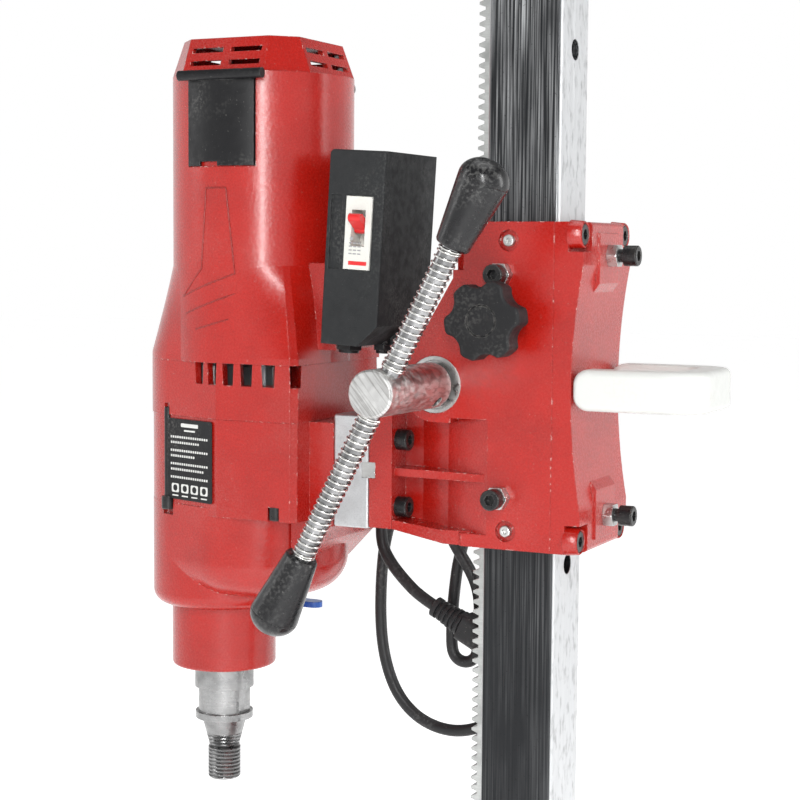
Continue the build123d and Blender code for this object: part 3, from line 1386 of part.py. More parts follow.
# Cord clip on the spacer's far face; the cord hangs over it.
clip_x, clip_y, clip_z = -109.0, 49.5, 482.0
with BuildPart() as cord_clip:
    with BuildSketch(Plane.XZ.offset(-40)):
        with Locations((clip_x, 489)):
            RectangleRounded(9, 26, 2)
    extrude(amount=-3.6)
    with BuildSketch(at_x(clip_x - 4)):
        with Locations((clip_y, clip_z)):
            Circle(7.2)
    extrude(amount=8)
    with BuildSketch(Plane(origin=(clip_x, 43, 496), x_dir=(1, 0, 0), z_dir=(0, 1, 0))):
        Circle(3.6)
    extrude(amount=2.6)
    with BuildSketch(at_x(clip_x - 5)):
        with Locations((clip_y, clip_z)):
            Circle(5)
    extrude(amount=10, mode=Mode.SUBTRACT)
save(cord_clip, "cord_clip")
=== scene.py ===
import math

import bmesh
import bpy
from mathutils import Matrix, Vector


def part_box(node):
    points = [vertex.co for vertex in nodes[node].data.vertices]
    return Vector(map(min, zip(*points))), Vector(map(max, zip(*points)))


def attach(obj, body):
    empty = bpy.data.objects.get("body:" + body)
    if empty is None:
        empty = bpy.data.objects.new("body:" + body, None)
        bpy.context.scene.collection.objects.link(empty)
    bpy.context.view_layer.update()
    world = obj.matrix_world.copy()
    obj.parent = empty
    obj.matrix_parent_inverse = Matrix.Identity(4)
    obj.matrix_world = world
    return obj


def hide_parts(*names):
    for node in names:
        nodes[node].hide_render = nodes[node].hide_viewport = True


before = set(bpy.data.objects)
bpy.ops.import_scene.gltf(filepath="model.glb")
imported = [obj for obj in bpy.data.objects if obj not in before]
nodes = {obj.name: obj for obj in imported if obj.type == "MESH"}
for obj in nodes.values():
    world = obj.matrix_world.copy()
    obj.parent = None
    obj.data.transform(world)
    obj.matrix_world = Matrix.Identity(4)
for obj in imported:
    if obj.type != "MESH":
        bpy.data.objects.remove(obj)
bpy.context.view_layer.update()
MM = 0.001

# Places and sizes in millimetres, in the part's frame.
MOTOR_X = -194
MOTOR_RADIUS = 59.5
SPINDLE_X = -224.7
THREAD_TOP = 282.2
THREAD_PITCH = 2.5
BOX_LEAN_DEGREES = 3.2
COVER_BOLT_Y = (-35.5, 35.5)
COVER_BOLT_Z = (439.5, 621.5)
WIRE = 1.3
COIL_RADIUS = 6.75
COIL_PITCH = 3.9
CORD_DIAMETER = 8


# ---------------------------------------------------------------- materials
class Look:
    """A node material whose texture coordinates are metres in the part's own frame."""

    def __init__(self, name, colour, rough, metal=0.0, coat=0.0, specular=0.5):
        self.material = bpy.data.materials.new(name)
        self.material.use_nodes = True
        self.tree = self.material.node_tree
        self.tree.nodes.clear()
        out = self.tree.nodes.new("ShaderNodeOutputMaterial")
        self.shader = self.tree.nodes.new("ShaderNodeBsdfPrincipled")
        self.tree.links.new(self.shader.outputs["BSDF"], out.inputs["Surface"])
        self.place = self.tree.nodes.new("ShaderNodeTexCoord").outputs["Object"]
        self.shader.inputs["Base Color"].default_value = (*colour, 1)
        self.shader.inputs["Roughness"].default_value = rough
        self.shader.inputs["Metallic"].default_value = metal
        self.shader.inputs["Coat Weight"].default_value = coat
        self.shader.inputs["Coat Roughness"].default_value = 0.18
        self.shader.inputs["Specular IOR Level"].default_value = specular
        self.normal = None

    def put(self, value, socket):
        if hasattr(value, "links"):
            self.tree.links.new(value, socket)
        else:
            socket.default_value = value

    def math(self, kind, a, b=0.0):
        node = self.tree.nodes.new("ShaderNodeMath")
        node.operation = kind
        self.put(a, node.inputs[0])
        self.put(b, node.inputs[1])
        return node.outputs[0]

    def along(self, direction, origin=(0, 0, 0)):
        """Distance from origin along a direction, in metres."""
        shift = self.tree.nodes.new("ShaderNodeVectorMath")
        shift.operation = "SUBTRACT"
        self.put(self.place, shift.inputs[0])
        shift.inputs[1].default_value = origin
        dot = self.tree.nodes.new("ShaderNodeVectorMath")
        dot.operation = "DOT_PRODUCT"
        self.put(shift.outputs[0], dot.inputs[0])
        dot.inputs[1].default_value = direction
        return dot.outputs["Value"]

    def noise(self, per_metre, detail=2.0, stretch=(1, 1, 1)):
        mapping = self.tree.nodes.new("ShaderNodeMapping")
        mapping.inputs["Scale"].default_value = [per_metre * s for s in stretch]
        self.put(self.place, mapping.inputs["Vector"])
        node = self.tree.nodes.new("ShaderNodeTexNoise")
        node.inputs["Scale"].default_value = 1.0
        node.inputs["Detail"].default_value = detail
        self.put(mapping.outputs[0], node.inputs["Vector"])
        return node.outputs[0]

    def span(self, value, low, high, to_low=0.0, to_high=1.0):
        node = self.tree.nodes.new("ShaderNodeMapRange")
        self.put(value, node.inputs["Value"])
        node.inputs["From Min"].default_value = low
        node.inputs["From Max"].default_value = high
        node.inputs["To Min"].default_value = to_low
        node.inputs["To Max"].default_value = to_high
        return node.outputs[0]

    def paint(self, amount, colour):
        """Mixes a colour over the one there, where amount is 1."""
        node = self.tree.nodes.new("ShaderNodeMix")
        node.data_type = "RGBA"
        self.put(amount, node.inputs["Factor"])
        source = self.shader.inputs["Base Color"]
        if source.links:
            self.put(source.links[0].from_socket, node.inputs[6])
        else:
            node.inputs[6].default_value = source.default_value
        node.inputs[7].default_value = (*colour, 1)
        self.tree.links.new(node.outputs[2], source)

    def blend_value(self, name, amount, value):
        """Mixes a number of the shader, such as its roughness, towards value where amount is 1."""
        node = self.tree.nodes.new("ShaderNodeMix")
        node.data_type = "FLOAT"
        self.put(amount, node.inputs["Factor"])
        source = self.shader.inputs[name]
        if source.links:
            self.put(source.links[0].from_socket, node.inputs[2])
        else:
            node.inputs[2].default_value = source.default_value
        node.inputs[3].default_value = value
        self.tree.links.new(node.outputs[0], source)

    def soften(self, radius):
        """Rounds the look of sharp edges by radius, and gives a mask of the edges for wear."""
        bevel = self.tree.nodes.new("ShaderNodeBevel")
        bevel.samples = 4
        bevel.inputs["Radius"].default_value = radius
        geometry = self.tree.nodes.new("ShaderNodeNewGeometry")
        dot = self.tree.nodes.new("ShaderNodeVectorMath")
        dot.operation = "DOT_PRODUCT"
        self.put(bevel.outputs[0], dot.inputs[0])
        self.put(geometry.outputs["Normal"], dot.inputs[1])
        if self.normal is None:
            self.normal = bevel.outputs[0]
        return self.span(dot.outputs["Value"], 0.995, 0.90)

    def bump(self, height, distance, strength=1.0):
        node = self.tree.nodes.new("ShaderNodeBump")
        node.inputs["Distance"].default_value = distance
        node.inputs["Strength"].default_value = strength
        self.put(height, node.inputs["Height"])
        if self.normal is not None:
            self.put(self.normal, node.inputs["Normal"])
        self.normal = node.outputs[0]

    def done(self):
        if self.normal is not None:
            self.put(self.normal, self.shader.inputs["Normal"])
        return self.material


def dim(colour, k):
    return tuple(c * k for c in colour)


def coating(name, red=(0.36, 0.008, 0.004), dust=0.3, chips=1.0):
    """Semi-gloss red powder coat: orange peel, fine white flecks, and chips down to pale primer at edges."""
    look = Look(name, red, 0.24, coat=0.35, specular=0.40)
    edge = look.soften(0.0009)
    look.paint(look.span(look.noise(38, 3), 0.42, 0.70, 0, 0.45), dim(red, 0.70))
    look.paint(look.span(look.noise(900, 2), 0.60, 0.74, 0, 0.28), dim(red, 1.35))
    patches = look.span(look.noise(14, 3), 0.50, 0.68)
    film = look.math("MULTIPLY", patches, look.span(look.noise(1500, 3), 0.50, 0.62))
    look.paint(look.math("MULTIPLY", film, dust * 0.5), (0.66, 0.40, 0.36))
    fleck = look.span(look.noise(1250, 2), 0.755, 0.78)
    look.paint(fleck, (0.74, 0.58, 0.54))
    chip = look.math("MULTIPLY", edge, look.span(look.noise(420, 3), 0.60, 0.64, 0, 0.75 * chips))
    look.paint(chip, (0.78, 0.66, 0.62))
    look.blend_value("Roughness", look.span(look.noise(700, 3), 0.35, 0.70, 0, 0.8), 0.34)
    look.blend_value("Roughness", chip, 0.8)
    look.bump(look.noise(420, 2), 0.00030, 0.55)
    look.bump(look.noise(1700, 2), 0.00010, 0.5)
    return look.done()


def metal(name, colour, rough, dark=0.55, lines=None, grain=1600, wear=0.0006, grime=0.5):
    """Bare or plated metal: tool lines, patches of a duller film, and bright worn edges."""
    look = Look(name, colour, rough, metal=1.0)
    edge = look.soften(wear)
    look.paint(look.span(look.noise(60, 4), 0.42, 0.68, 0, grime), dim(colour, dark))
    look.paint(look.math("MULTIPLY", edge, 0.6), [min(1, c * 1.35) for c in colour])
    look.blend_value("Roughness", look.span(look.noise(210, 4), 0.40, 0.70), min(1, rough + 0.22))
    if lines:
        per_metre, stretch, depth = lines
        streak = look.noise(per_metre, 3, stretch)
        look.paint(look.span(streak, 0.45, 0.70, 0, 0.5), dim(colour, 0.7))
        look.bump(streak, depth, 0.7)
    look.bump(look.noise(grain, 2), 0.00004, 0.6)
    return look


def moulding(name, colour, rough, grain=1500, depth=0.00006, dust=(0.30, 0.29, 0.27), dusty=0.4, wear=None,
             clear=0.0, size=520):
    """Moulded plastic or rubber: fine grain, a film of dust, and lighter scuffed edges."""
    look = Look(name, colour, rough, coat=clear, specular=0.30)
    edge = look.soften(0.0008)
    patches = look.span(look.noise(26, 4), 0.46, 0.72)
    film = look.math("MULTIPLY", patches, look.span(look.noise(size, 3), 0.48, 0.64))
    look.paint(look.math("MULTIPLY", film, dusty), dust)
    look.paint(look.span(look.noise(size * 1.4, 2), 0.70, 0.74, 0, dusty), dust)
    if wear:
        look.paint(look.math("MULTIPLY", edge, look.span(look.noise(400, 3), 0.40, 0.60)), wear)
    look.blend_value("Roughness", look.span(look.noise(180, 3), 0.40, 0.70), min(1, rough + 0.18))
    look.bump(look.noise(grain, 3), depth, 0.8)
    return look


RED = coating("red_powder_coat")
RED_BASE = coating("red_base_paint", red=(0.34, 0.009, 0.004), dust=0.8)

column_look = Look("column_finish", (0.022, 0.023, 0.025), 0.34, metal=0.85)
column_edge = column_look.soften(0.0012)
column_streak = column_look.noise(900, 4, (1, 1, 0.012))
column_patch = column_look.span(column_look.noise(34, 4, (1, 1, 0.25)), 0.36, 0.66)
column_height = column_look.span(column_look.along((0, 0, 1)), 0.50, 0.75, 0.14, 1.0)
column_shine = column_look.math("MULTIPLY", column_look.span(column_streak, 0.42, 0.66), column_patch)
column_look.paint(column_look.math("MULTIPLY", column_shine, column_height), (0.52, 0.53, 0.54))
column_look.paint(column_look.span(column_look.noise(700, 3), 0.66, 0.72, 0, 0.5), (0.012, 0.012, 0.013))
# Painted light: the column's ±X faces, picked by their normal, are painted light steel grey over the dark
# finish, as sides that catch the light; darker pits are sprinkled on these painted faces.
column_face = column_look.tree.nodes.new("ShaderNodeSeparateXYZ")
column_normal = column_look.tree.nodes.new("ShaderNodeNewGeometry")
column_look.put(column_normal.outputs["Normal"], column_face.inputs[0])
column_side_painted_light = column_look.span(column_look.math("ABSOLUTE", column_face.outputs[0]), 0.55, 0.80)
column_look.paint(column_side_painted_light, (0.60, 0.61, 0.62))
column_pits = column_look.span(column_look.noise(240, 4, (1, 1, 0.5)), 0.52, 0.72, 0, 0.6)
column_pit = column_look.math("MULTIPLY", column_side_painted_light, column_pits)
column_look.paint(column_pit, (0.25, 0.255, 0.26))
column_look.paint(column_look.math("MULTIPLY", column_edge, 0.6), (0.42, 0.43, 0.44))
column_dull = column_look.span(column_look.noise(260, 3, (1, 1, 0.1)), 0.40, 0.70)
column_look.blend_value("Roughness", column_dull, 0.55)
column_look.bump(column_streak, 0.00005, 0.6)
COLUMN = column_look.done()

RACK = metal("rack_milled", (0.50, 0.51, 0.50), 0.36, lines=(900, (0.03, 1, 1), 0.00005), grime=0.7).done()
BRIGHT = metal("bright_steel", (0.58, 0.58, 0.57), 0.24, lines=(1400, (0.05, 0.05, 1), 0.00003)).done()
ZINC = metal("zinc_plate", (0.60, 0.60, 0.59), 0.26, grime=0.6).done()
BAR = metal("bar_steel", (0.34, 0.34, 0.345), 0.22, dark=0.35, grime=0.8).done()
SPRING = metal("spring_wire", (0.78, 0.775, 0.75), 0.20, dark=0.5, wear=0.0001, grime=0.3).done()
SPACER = metal("spacer_milled", (0.62, 0.63, 0.64), 0.38, lines=(1100, (1, 0.04, 1), 0.00004),
    grime=0.35).done()
FAN = metal("fan_cast", (0.55, 0.57, 0.58), 0.42).done()
BRASS = metal("valve_brass", (0.72, 0.50, 0.22), 0.28).done()
COPPER = metal("commutator_bars", (0.80, 0.38, 0.22), 0.30, lines=(900, (1, 1, 0.05), 0.00005)).done()
CORE = metal("core_laminations", (0.30, 0.30, 0.31), 0.45, lines=(1600, (0.02, 0.02, 1), 0.00008)).done()

hub_look = metal("hub_zinc", (0.66, 0.66, 0.65), 0.34, dark=0.6, grime=0.5)
hub_turn = hub_look.tree.nodes.new("ShaderNodeMapping")
hub_turn.inputs["Rotation"].default_value = (0, math.radians(40), 0)
hub_look.put(hub_look.place, hub_turn.inputs["Vector"])
hub_look.place = hub_turn.outputs[0]
hub_marks = hub_look.noise(1500, 3, (0.5, 0.1, 0.02))
hub_look.paint(hub_look.span(hub_marks, 0.48, 0.62, 0, 0.55), (0.22, 0.21, 0.20))
hub_look.bump(hub_marks, 0.00010, 0.8)
HUB = hub_look.done()

oxide_look = Look("black_oxide", (0.012, 0.012, 0.013), 0.26, metal=0.3, coat=0.15, specular=0.35)
oxide_edge = oxide_look.soften(0.0005)
oxide_look.paint(oxide_look.span(oxide_look.noise(150, 4), 0.45, 0.70, 0, 0.7), (0.030, 0.028, 0.026))
oxide_look.paint(oxide_look.math("MULTIPLY", oxide_edge, 0.5), (0.20, 0.19, 0.18))
oxide_look.blend_value("Roughness", oxide_look.span(oxide_look.noise(500, 3), 0.40, 0.66), 0.48)
oxide_look.bump(oxide_look.noise(1500, 2), 0.00004, 0.6)
OXIDE = oxide_look.done()

KNOB = moulding("knob_plastic", (0.007, 0.007, 0.008), 0.50, grain=1300, depth=0.00012,
    dust=(0.16, 0.155, 0.145), dusty=0.3,
                wear=(0.12, 0.116, 0.108)).done()
BLACK = moulding("black_plastic", (0.008, 0.008, 0.009), 0.42, dusty=0.25, wear=(0.10, 0.10, 0.10)).done()
BOX = moulding("switch_box_plastic", (0.014, 0.015, 0.016), 0.58, grain=1500, depth=0.00018,
    dust=(0.33, 0.33, 0.31),
               dusty=0.15, wear=(0.06, 0.062, 0.062), size=700).done()
COVER = moulding("brush_cover_plastic", (0.005, 0.005, 0.006), 0.34, dusty=0.25,
    wear=(0.07, 0.07, 0.07)).done()
NYLON = moulding("white_nylon", (0.58, 0.59, 0.57), 0.34, grain=700, depth=0.00006, dust=(0.50, 0.47, 0.40),
    dusty=0.25,
                 clear=0.1).done()
PADS = moulding("pad_nylon", (0.62, 0.60, 0.50), 0.45, dust=(0.3, 0.28, 0.22)).done()
BREAKER = moulding("breaker_plastic", (0.62, 0.62, 0.58), 0.36, dust=(0.42, 0.40, 0.35), dusty=0.35).done()
TOGGLE = moulding("toggle_plastic", (0.62, 0.020, 0.022), 0.28, dust=(0.6, 0.4, 0.38), dusty=0.2,
    clear=0.2).done()
TYRE = moulding("tyre_rubber", (0.020, 0.020, 0.021), 0.66, grain=600, depth=0.0002, dusty=0.4).done()
CARBON = moulding("carbon", (0.02, 0.02, 0.02), 0.5).done()
CORD = moulding("cord_rubber", (0.016, 0.016, 0.017), 0.38, grain=1100, depth=0.00008,
    dust=(0.20, 0.20, 0.19),
                dusty=0.35).done()
BLUE = moulding("lever_coating", (0.020, 0.10, 0.42), 0.30, dust=(0.4, 0.42, 0.45), dusty=0.2,
    clear=0.3).done()

hub_axis = Vector((-48.75, -114, 530)) * MM
bar_way = Vector((0.460, 0, 0.888)).normalized()
grip_look = moulding("grip_plastic", (0.005, 0.005, 0.006), 0.24, grain=500, depth=0.00010,
    dust=(0.26, 0.26, 0.25),
                     dusty=0.30, clear=0.25)
grip_place = grip_look.along(bar_way, hub_axis)
for ring_at in (0.1355, -0.1530):
    ring_gap = grip_look.math("ABSOLUTE", grip_look.math("SUBTRACT", grip_place, ring_at))
    grip_look.bump(grip_look.span(ring_gap, 0.0002, 0.0006), 0.0004)
GRIP = grip_look.done()

plug_start = Vector((-85.25, 41.2, 374.8)) * MM
plug_way = Vector((0.9, -0.06, -0.432)).normalized()
plug_look = moulding("plug_rubber", (0.016, 0.016, 0.017), 0.42, grain=900, depth=0.00010, dusty=0.35)
plug_pins = plug_look.math("GREATER_THAN", plug_look.along(plug_way, plug_start), 0.0622)
plug_look.paint(plug_pins, (0.66, 0.64, 0.58))
plug_look.blend_value("Metallic", plug_pins, 1.0)
plug_look.blend_value("Roughness", plug_pins, 0.22)
PLUG = plug_look.done()

# The spindle's M22 thread, as relief on its plain nose.
thread_look = metal("spindle_steel", (0.36, 0.36, 0.36), 0.22, lines=(1400, (0.05, 0.05, 1), 0.00003),
    grime=0.8)
from_axis = thread_look.along((1, 0, 0), (SPINDLE_X * MM, 0, 0))
turn = thread_look.math("ARCTAN2", thread_look.along((0, 1, 0)), from_axis)
thread_rise = thread_look.math("MULTIPLY", thread_look.along((0, 0, 1)), 1 / (THREAD_PITCH * MM))
thread_turn = thread_look.math("MULTIPLY", turn, 1 / (2 * math.pi))
thread_phase = thread_look.math("ADD", thread_rise, thread_turn)
thread_tooth = thread_look.math("PINGPONG", thread_phase, 0.5)
on_nose = thread_look.math("LESS_THAN", thread_look.along((0, 0, 1)), THREAD_TOP * MM)
thread_look.bump(thread_look.math("MULTIPLY", thread_tooth, on_nose), 0.0022)
# Painted shade: the roots of the bump-only thread are painted dark grey.
thread_root_painted_shade = thread_look.math("MULTIPLY", thread_look.span(thread_tooth, 0.25, 0.05), on_nose)
thread_look.paint(thread_root_painted_shade, (0.12, 0.12, 0.12))
SPINDLE = thread_look.done()

MATERIALS = {
    RED: ("carriage_housing", "carriage_cover", "motor_housing", "vent_cap", "middle_housing",
    "gearbox_housing", "water_collar"),
    RED_BASE: ("base_plate",),
    COLUMN: ("column",),
    RACK: ("gear_rack",),
    BRIGHT: ("wheel_axle", "bearing_outer_rings", "bearing_inner_rings", "spacer_key", "pinion_shaft",
    "feed_pinion",
             "lock_stud", "armature_shaft", "motor_bearings", "intermediate_gear", "spindle_gear"),
    ZINC: ("socket_bolts", "levelling_nuts", "levelling_screw_front_near", "levelling_screw_front_far",
           "levelling_screw_back_near", "levelling_screw_back_far", "adjusting_nuts"),
    BAR: ("handle_bar",),
    SPRING: ("handle_springs",),
    SPACER: ("motor_spacer",),
    FAN: ("cooling_fan",),
    BRASS: ("water_valve",),
    COPPER: ("commutator",),
    CORE: ("stator", "armature_core"),
    HUB: ("feed_hub",),
    OXIDE: ("carriage_bolts", "adjusting_screws", "hub_set_screw", "motor_screws"),
    KNOB: ("lock_knob",),
    BLACK: ("column_cap", "cable_glands", "cord_clip"),
    BOX: ("switch_box",),
    COVER: ("brush_cover_near", "brush_cover_far"),
    NYLON: ("carry_handle",),
    PADS: ("slide_pads",),
    BREAKER: ("breaker_body",),
    TOGGLE: ("breaker_toggle",),
    TYRE: ("wheel_near", "wheel_far"),
    CARBON: ("carbon_brushes",),
    CORD: ("power_cord",),
    PLUG: ("power_plug",),
    BLUE: ("water_lever",),
    GRIP: ("handle_grips",),
    SPINDLE: ("spindle",),
}
for material, names in MATERIALS.items():
    for name in names:
        node = nodes[name]
        if not node.material_slots:
            node.data.materials.append(material)
        for slot in node.material_slots:
            slot.material = material


# ---------------------------------------------------------------- new pieces
def curve(name, runs, radius, material, smooth=True):
    """A round wire through the runs' points, in metres."""
    data = bpy.data.curves.new(name, "CURVE")
    data.dimensions = "3D"
    data.bevel_depth = radius
    data.bevel_resolution = 4
    data.resolution_u = 3 if smooth else 1
    data.use_fill_caps = True
    for points in runs:
        spline = data.splines.new("NURBS" if smooth else "POLY")
        spline.points.add(len(points) - 1)
        for target, point in zip(spline.points, points):
            target.co = (*point, 1)
        if smooth:
            spline.order_u = 4
            spline.use_endpoint_u = True
    thing = bpy.data.objects.new(name, data)
    bpy.context.collection.objects.link(thing)
    thing.data.materials.append(material)
    return thing


def coil(start, way, length, radius, wire, pitch):
    """Points of a compression spring with its end coils closed."""
    side = way.cross(Vector((0, 1, 0))).normalized()
    other = way.cross(side)
    points = []
    closed_turns = 1.5
    step = 1 / 14
    turns = 0.0
    place = wire / 2
    while place < length - wire / 2:
        angle = 2 * math.pi * turns
        points.append(start + way * place + (side * math.cos(angle) + other * math.sin(angle)) * radius)
        near_end = turns < closed_turns or length - place < closed_turns * wire * 1.1 + wire / 2
        place += (wire * 1.08 if near_end else pitch) * step
        turns += step
    return points


springs = curve("handle_spring_coils", [
    coil(hub_axis + bar_way * 0.015, bar_way, 0.0791, COIL_RADIUS * MM, WIRE * MM, COIL_PITCH * MM),
    coil(hub_axis - bar_way * 0.015, -bar_way, 0.0966, COIL_RADIUS * MM, WIRE * MM, COIL_PITCH * MM),
], 0.00063, SPRING)
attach(springs, "feed_handle")
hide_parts("handle_springs")


def inlay(name, outlines, origin, across, up, thick, material):
    """Flat outlines in one plane, each a prism standing on it."""
    mesh = bpy.data.meshes.new(name)
    out = across.cross(up).normalized()
    build = bmesh.new()
    for outline in outlines:
        low = [build.verts.new(origin + across * x + up * y) for x, y in outline]
        top = [build.verts.new(origin + across * x + up * y + out * thick) for x, y in outline]
        build.faces.new(top)
        for i in range(len(outline)):
            j = (i + 1) % len(outline)
            build.faces.new((low[i], low[j], top[j], top[i]))
    bmesh.ops.recalc_face_normals(build, faces=build.faces)
    build.to_mesh(mesh)
    build.free()
    thing = bpy.data.objects.new(name, mesh)
    bpy.context.collection.objects.link(thing)
    mesh.materials.append(material)
    return thing


def slab(x, y, width, height, corner):
    """A rectangle with round corners about (x, y)."""
    points = []
    for i, (cx, cy) in enumerate(((1, 1), (-1, 1), (-1, -1), (1, -1))):
        for k in range(5):
            angle = math.radians(90 * i + 22.5 * k)
            points.append((x + cx * (width / 2 - corner) + corner * math.cos(angle),
                           y + cy * (height / 2 - corner) + corner * math.sin(angle)))
    return points


def disc(x, y, radius):
    angles = [step / 12 * math.pi for step in range(24)]
    return [(x + radius * math.cos(a), y + radius * math.sin(a)) for a in angles]


# A blank instruction plate with pictogram dots and plain bars, in place of lettering.
plate_low = Vector((-241, -45.5, 0)) * MM
plate_high = Vector((-196, -59.2, 0)) * MM
plate_across = (plate_high - plate_low).normalized()
plate_up = Vector((0, 0, 1))
plate_out = plate_across.cross(plate_up)
plate_middle = (plate_low + plate_high) / 2 + plate_up * 0.4745
LABEL = moulding("label_black", (0.005, 0.005, 0.006), 0.34, dusty=0.3).done()
LABEL_WHITE = moulding("label_white", (0.62, 0.62, 0.60), 0.40, dust=(0.2, 0.2, 0.2), dusty=0.4).done()
plate = inlay("blank_plate", [slab(0, 0, 0.0440, 0.0530, 0.0016)], plate_middle, plate_across, plate_up,
    0.0003, LABEL)
bars = [slab(0, 0.0225, 0.0170, 0.0024, 0.0006), slab(0, 0.0190, 0.0110, 0.0011, 0.0004)]
for row, (x, width) in enumerate(((0.0, 0.0385), (-0.0040, 0.0300), (0.0, 0.0385), (-0.0060, 0.0260),
    (0.0, 0.0385),
                                  (-0.0020, 0.0340), (0.0, 0.0385))):
    y = 0.0145 - 0.0036 * row - 0.0016 * (row // 2)
    for k in range(int(width / 0.0022)):
        bars.append(slab(x - width / 2 + 0.0011 + 0.0022 * k, y, 0.0015, 0.0015, 0.0003))
icon_places = [-0.01425 + 0.0095 * i for i in range(4)]
bars += [slab(x, -0.0190, 0.0072, 0.0058, 0.0010) for x in icon_places]
bars += [slab(x, -0.0240, 0.0060, 0.0009, 0.0003) for x in icon_places]
marks = inlay("blank_plate_bars", bars, plate_middle + plate_out * 0.0003, plate_across, plate_up, 0.00008,
    LABEL_WHITE)
dots = inlay("blank_plate_dots", [disc(x, -0.0190, 0.0021) for x in icon_places],
             plate_middle + plate_out * 0.00038, plate_across, plate_up, 0.00006, LABEL)
for piece in (plate, marks, dots):
    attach(piece, "carriage")


# Cast bosses round the heads of the cover's four bolts.
def collar(name, places, inner, outer, low, high, material):
    """Round collars along +X, with a small chamfer at the mouth."""
    build = bmesh.new()
    profile = (
        (low, outer + 0.8), (high - 0.8, outer), (high, outer - 0.8), (high, inner + 0.4),
        (high - 0.5, inner),
        (low, inner),
    )
    steps = 40
    turns = [2 * math.pi * k / steps for k in range(steps)]
    for y, z in places:
        rings = []
        for x, radius in profile:
            round_it = [Vector((x, y + radius * math.cos(a), z + radius * math.sin(a))) * MM for a in turns]
            rings.append([build.verts.new(point) for point in round_it])
        for first, second in zip(rings, rings[1:]):
            for k in range(steps):
                build.faces.new((first[k], first[(k + 1) % steps], second[(k + 1) % steps], second[k]))
    bmesh.ops.recalc_face_normals(build, faces=build.faces)
    mesh = bpy.data.meshes.new(name)
    build.to_mesh(mesh)
    build.free()
    for face in mesh.polygons:
        face.use_smooth = True
    thing = bpy.data.objects.new(name, mesh)
    bpy.context.collection.objects.link(thing)
    mesh.materials.append(material)
    return thing


bosses = collar("cover_bolt_bosses", [(y, z) for y in COVER_BOLT_Y for z in COVER_BOLT_Z], 6.7, 7.9,
                36.5, 45.4, RED)
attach(bosses, "carriage")


# Mould lines in relief on the motor's near side, in a darker red that paints the shade of engraved grooves.
def on_motor(x, z):
    return Vector((x, -math.sqrt(MOTOR_RADIUS ** 2 - (x - MOTOR_X) ** 2), z)) * MM


def relief(corners, steps=8):
    points = []
    for (x0, z0), (x1, z1) in zip(corners, corners[1:]):
        points += [on_motor(x0 + (x1 - x0) * k / steps, z0 + (z1 - z0) * k / steps) for k in range(steps)]
    points.append(on_motor(*corners[-1]))
    return points


# Painted shade: the mould lines are given a darker red than the housing's paint.
RELIEF_PAINTED_SHADE = coating("red_relief_painted_shade", red=(0.25, 0.006, 0.003), chips=0.0)
panel = curve("motor_mould_lines", [
    relief([(-223, 581), (-205.5, 599), (-201.5, 650), (-187, 650), (-181, 596), (-223, 581)]),
    relief([(-220, 570), (-176, 585)]),
    relief([(-211, 560), (-171, 571)]),
], 0.00055, RELIEF_PAINTED_SHADE, smooth=False)
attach(panel, "carriage")

# Plain grey marks on the breaker's face.
breaker_low, breaker_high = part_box("breaker_body")
lean = math.radians(BOX_LEAN_DEGREES)
box_across = Vector((math.cos(lean), 0, -math.sin(lean)))
box_up = Vector((math.sin(lean), 0, math.cos(lean)))
face_middle = (Vector(breaker_low) + Vector(breaker_high)) / 2
face_middle.y = breaker_low[1]
GREY = moulding("breaker_marks", (0.30, 0.30, 0.31), 0.5).done()
grey_bars = [slab(-0.0045 + 0.0030 * (k % 3), -0.0062 - 0.0022 * (k // 3), 0.0022, 0.0008,
    0.0002) for k in range(12)]
grey_marks = inlay("breaker_plain_marks", grey_bars + [disc(-0.0040, -0.0035, 0.0012)], face_middle,
    box_across, box_up,
                   0.00012, GREY)
red_marks = inlay("breaker_red_bar", [slab(0.0008, -0.0185, 0.0125, 0.0024, 0.0003)], face_middle,
    box_across, box_up,
                  0.00012, TOGGLE)
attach(grey_marks, "carriage")
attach(red_marks, "carriage")


# ---------------------------------------------------------------- the cord
route = [
    (-110, 46, 602), (-110, 58, 602), (-113, 67, 592), (-117, 71, 570), (-119, 69, 545), (-118, 65, 518),
    (-117, 62, 492), (-119, 61, 465), (-125, 60, 438), (-132, 58, 412), (-134.4, 58, 385), (-134.6, 58, 355),
    (-130.5, 57, 330), (-120.8, 56, 308), (-105.5, 55, 294), (-87, 55, 287.5), (-68, 54, 288.5),
    (-49, 53, 297),
    (-32, 54, 311), (-15, 56, 332), (-4, 57, 361), (-1, 58, 395), (-5, 58, 427), (-16, 58.5, 450),
    (-33, 59, 461),
    (-50, 59, 454), (-67, 58.5, 434), (-76, 58, 407), (-79.6, 58, 379), (-80.8, 58, 356), (-80, 57.5, 341),
    (-74.4, 57.2, 335.5), (-66.6, 57, 335.5), (-61, 56.8, 341), (-60.2, 56.5, 354), (-59.3, 56.2, 370),
    (-60, 55, 385), (-65, 53.8, 398), (-73, 52, 410.5), (-81, 50.5, 425), (-87, 49.7, 441),
    (-91.5, 49.5, 458),
    (-95, 49.5, 471), (-103, 49.5, 482), (-115, 49.5, 482), (-124, 49.5, 474), (-127.5, 49.3, 460),
    (-128.5, 49, 443), (-130, 48.6, 428), (-128.5, 47.3, 411.5), (-120.5, 45.5, 400), (-109, 43.5, 389.5),
    (-97.4, 42, 380.6), (-85.25, 41.2, 374.8),
]
cord_data = bpy.data.curves.new("mains_lead", "CURVE")
cord_data.dimensions = "3D"
cord_data.bevel_depth = CORD_DIAMETER / 2 * MM
cord_data.bevel_resolution = 6
cord_data.resolution_u = 12
cord_line = cord_data.splines.new("NURBS")
cord_line.points.add(len(route) - 1)
for target, point in zip(cord_line.points, route):
    target.co = (point[0] * MM, point[1] * MM, point[2] * MM, 1)
cord_line.order_u = 3
cord_line.use_endpoint_u = True
mains_lead = bpy.data.objects.new("mains_lead", cord_data)
bpy.context.collection.objects.link(mains_lead)
cord_data.materials.append(CORD)
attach(mains_lead, "carriage")
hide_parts("power_cord")

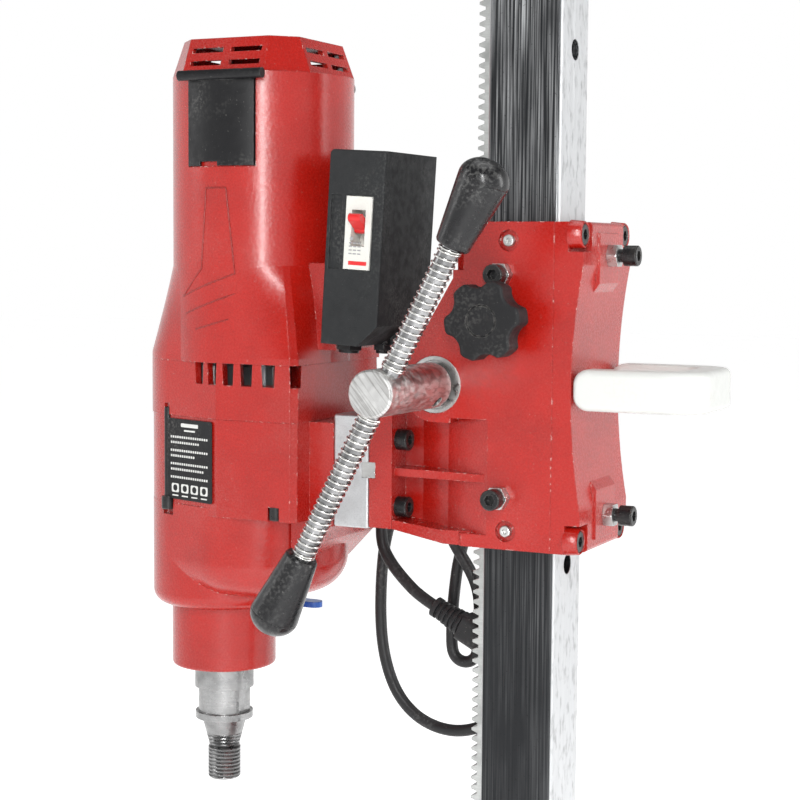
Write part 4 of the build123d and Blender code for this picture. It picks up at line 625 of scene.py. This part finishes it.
# ---------------------------------------------------------------- floor, light and camera
floor_look = Look("floor_paper", (0.93, 0.93, 0.93), 0.9, specular=0.1)
floor_look.bump(floor_look.noise(300, 3), 0.0001, 0.3)
floor_look.shader.inputs["Emission Color"].default_value = (1, 1, 1, 1)
floor_look.shader.inputs["Emission Strength"].default_value = 0.72
floor_mesh = bpy.data.meshes.new("floor")
floor_mesh.from_pydata([(-12, -12, 0), (12, -12, 0), (12, 12, 0), (-12, 12, 0)], [], [(0, 1, 2, 3)])
floor_mesh.materials.append(floor_look.done())
floor = bpy.data.objects.new("floor", floor_mesh)
bpy.context.collection.objects.link(floor)

world = bpy.data.worlds.new("studio")
world.use_nodes = True
sky = world.node_tree
sky_place = sky.nodes.new("ShaderNodeTexCoord")
sky_split = sky.nodes.new("ShaderNodeSeparateXYZ")
sky_fade = sky.nodes.new("ShaderNodeMapRange")
sky.links.new(sky_place.outputs["Generated"], sky_split.inputs[0])
sky.links.new(sky_split.outputs["Z"], sky_fade.inputs["Value"])
sky_fade.inputs["From Min"].default_value = 0.16
sky_fade.inputs["From Max"].default_value = 0.42
sky_fade.inputs["To Min"].default_value = 1.0
sky_fade.inputs["To Max"].default_value = 0.22
sky.links.new(sky_fade.outputs[0], sky.nodes["Background"].inputs["Strength"])
sky.nodes["Background"].inputs["Color"].default_value = (1, 1, 1, 1)
bpy.context.scene.world = world


def softbox(name, place, target, size, power):
    data = bpy.data.lights.new(name, "AREA")
    data.shape = "RECTANGLE"
    data.size, data.size_y = size
    data.energy = power
    light = bpy.data.objects.new(name, data)
    light.location = place
    light.rotation_euler = (Vector(target) - Vector(place)).to_track_quat("-Z", "Y").to_euler()
    bpy.context.collection.objects.link(light)


softbox("key_strip", (0.60, -1.45, 1.00), (-0.15, 0, 0.58), (0.12, 1.3), 22)
softbox("left_softbox", (-1.5, -0.7, 1.3), (-0.2, 0, 0.6), (0.5, 1.2), 5)
softbox("right_softbox", (1.5, 0.5, 0.9), (-0.1, 0, 0.55), (0.4, 1.4), 12)
softbox("top_softbox", (0.1, 0.2, 2.2), (0, 0, 0.5), (1.4, 1.4), 12)
bpy.context.scene.view_settings.view_transform = "Standard"

camera_place = Vector((408.5, -1023, 610.7)) * MM
camera_target = Vector((-75.0, -35.9, 519.0)) * MM
ahead = (camera_target - camera_place).normalized()
level = ahead.cross(Vector((0, 0, 1))).normalized()
upright = level.cross(ahead)
roll = math.radians(0.444)
right = level * math.cos(roll) + upright * math.sin(roll)
above = upright * math.cos(roll) - level * math.sin(roll)
camera_data = bpy.data.cameras.new("camera")
camera_data.lens = 80.05
camera_data.sensor_width = 36
camera_data.clip_start = 0.05
camera = bpy.data.objects.new("camera", camera_data)
camera.matrix_world = Matrix((
    (right.x, above.x, -ahead.x, camera_place.x),
    (right.y, above.y, -ahead.y, camera_place.y),
    (right.z, above.z, -ahead.z, camera_place.z),
    (0, 0, 0, 1),
))
bpy.context.collection.objects.link(camera)
bpy.context.scene.camera = camera
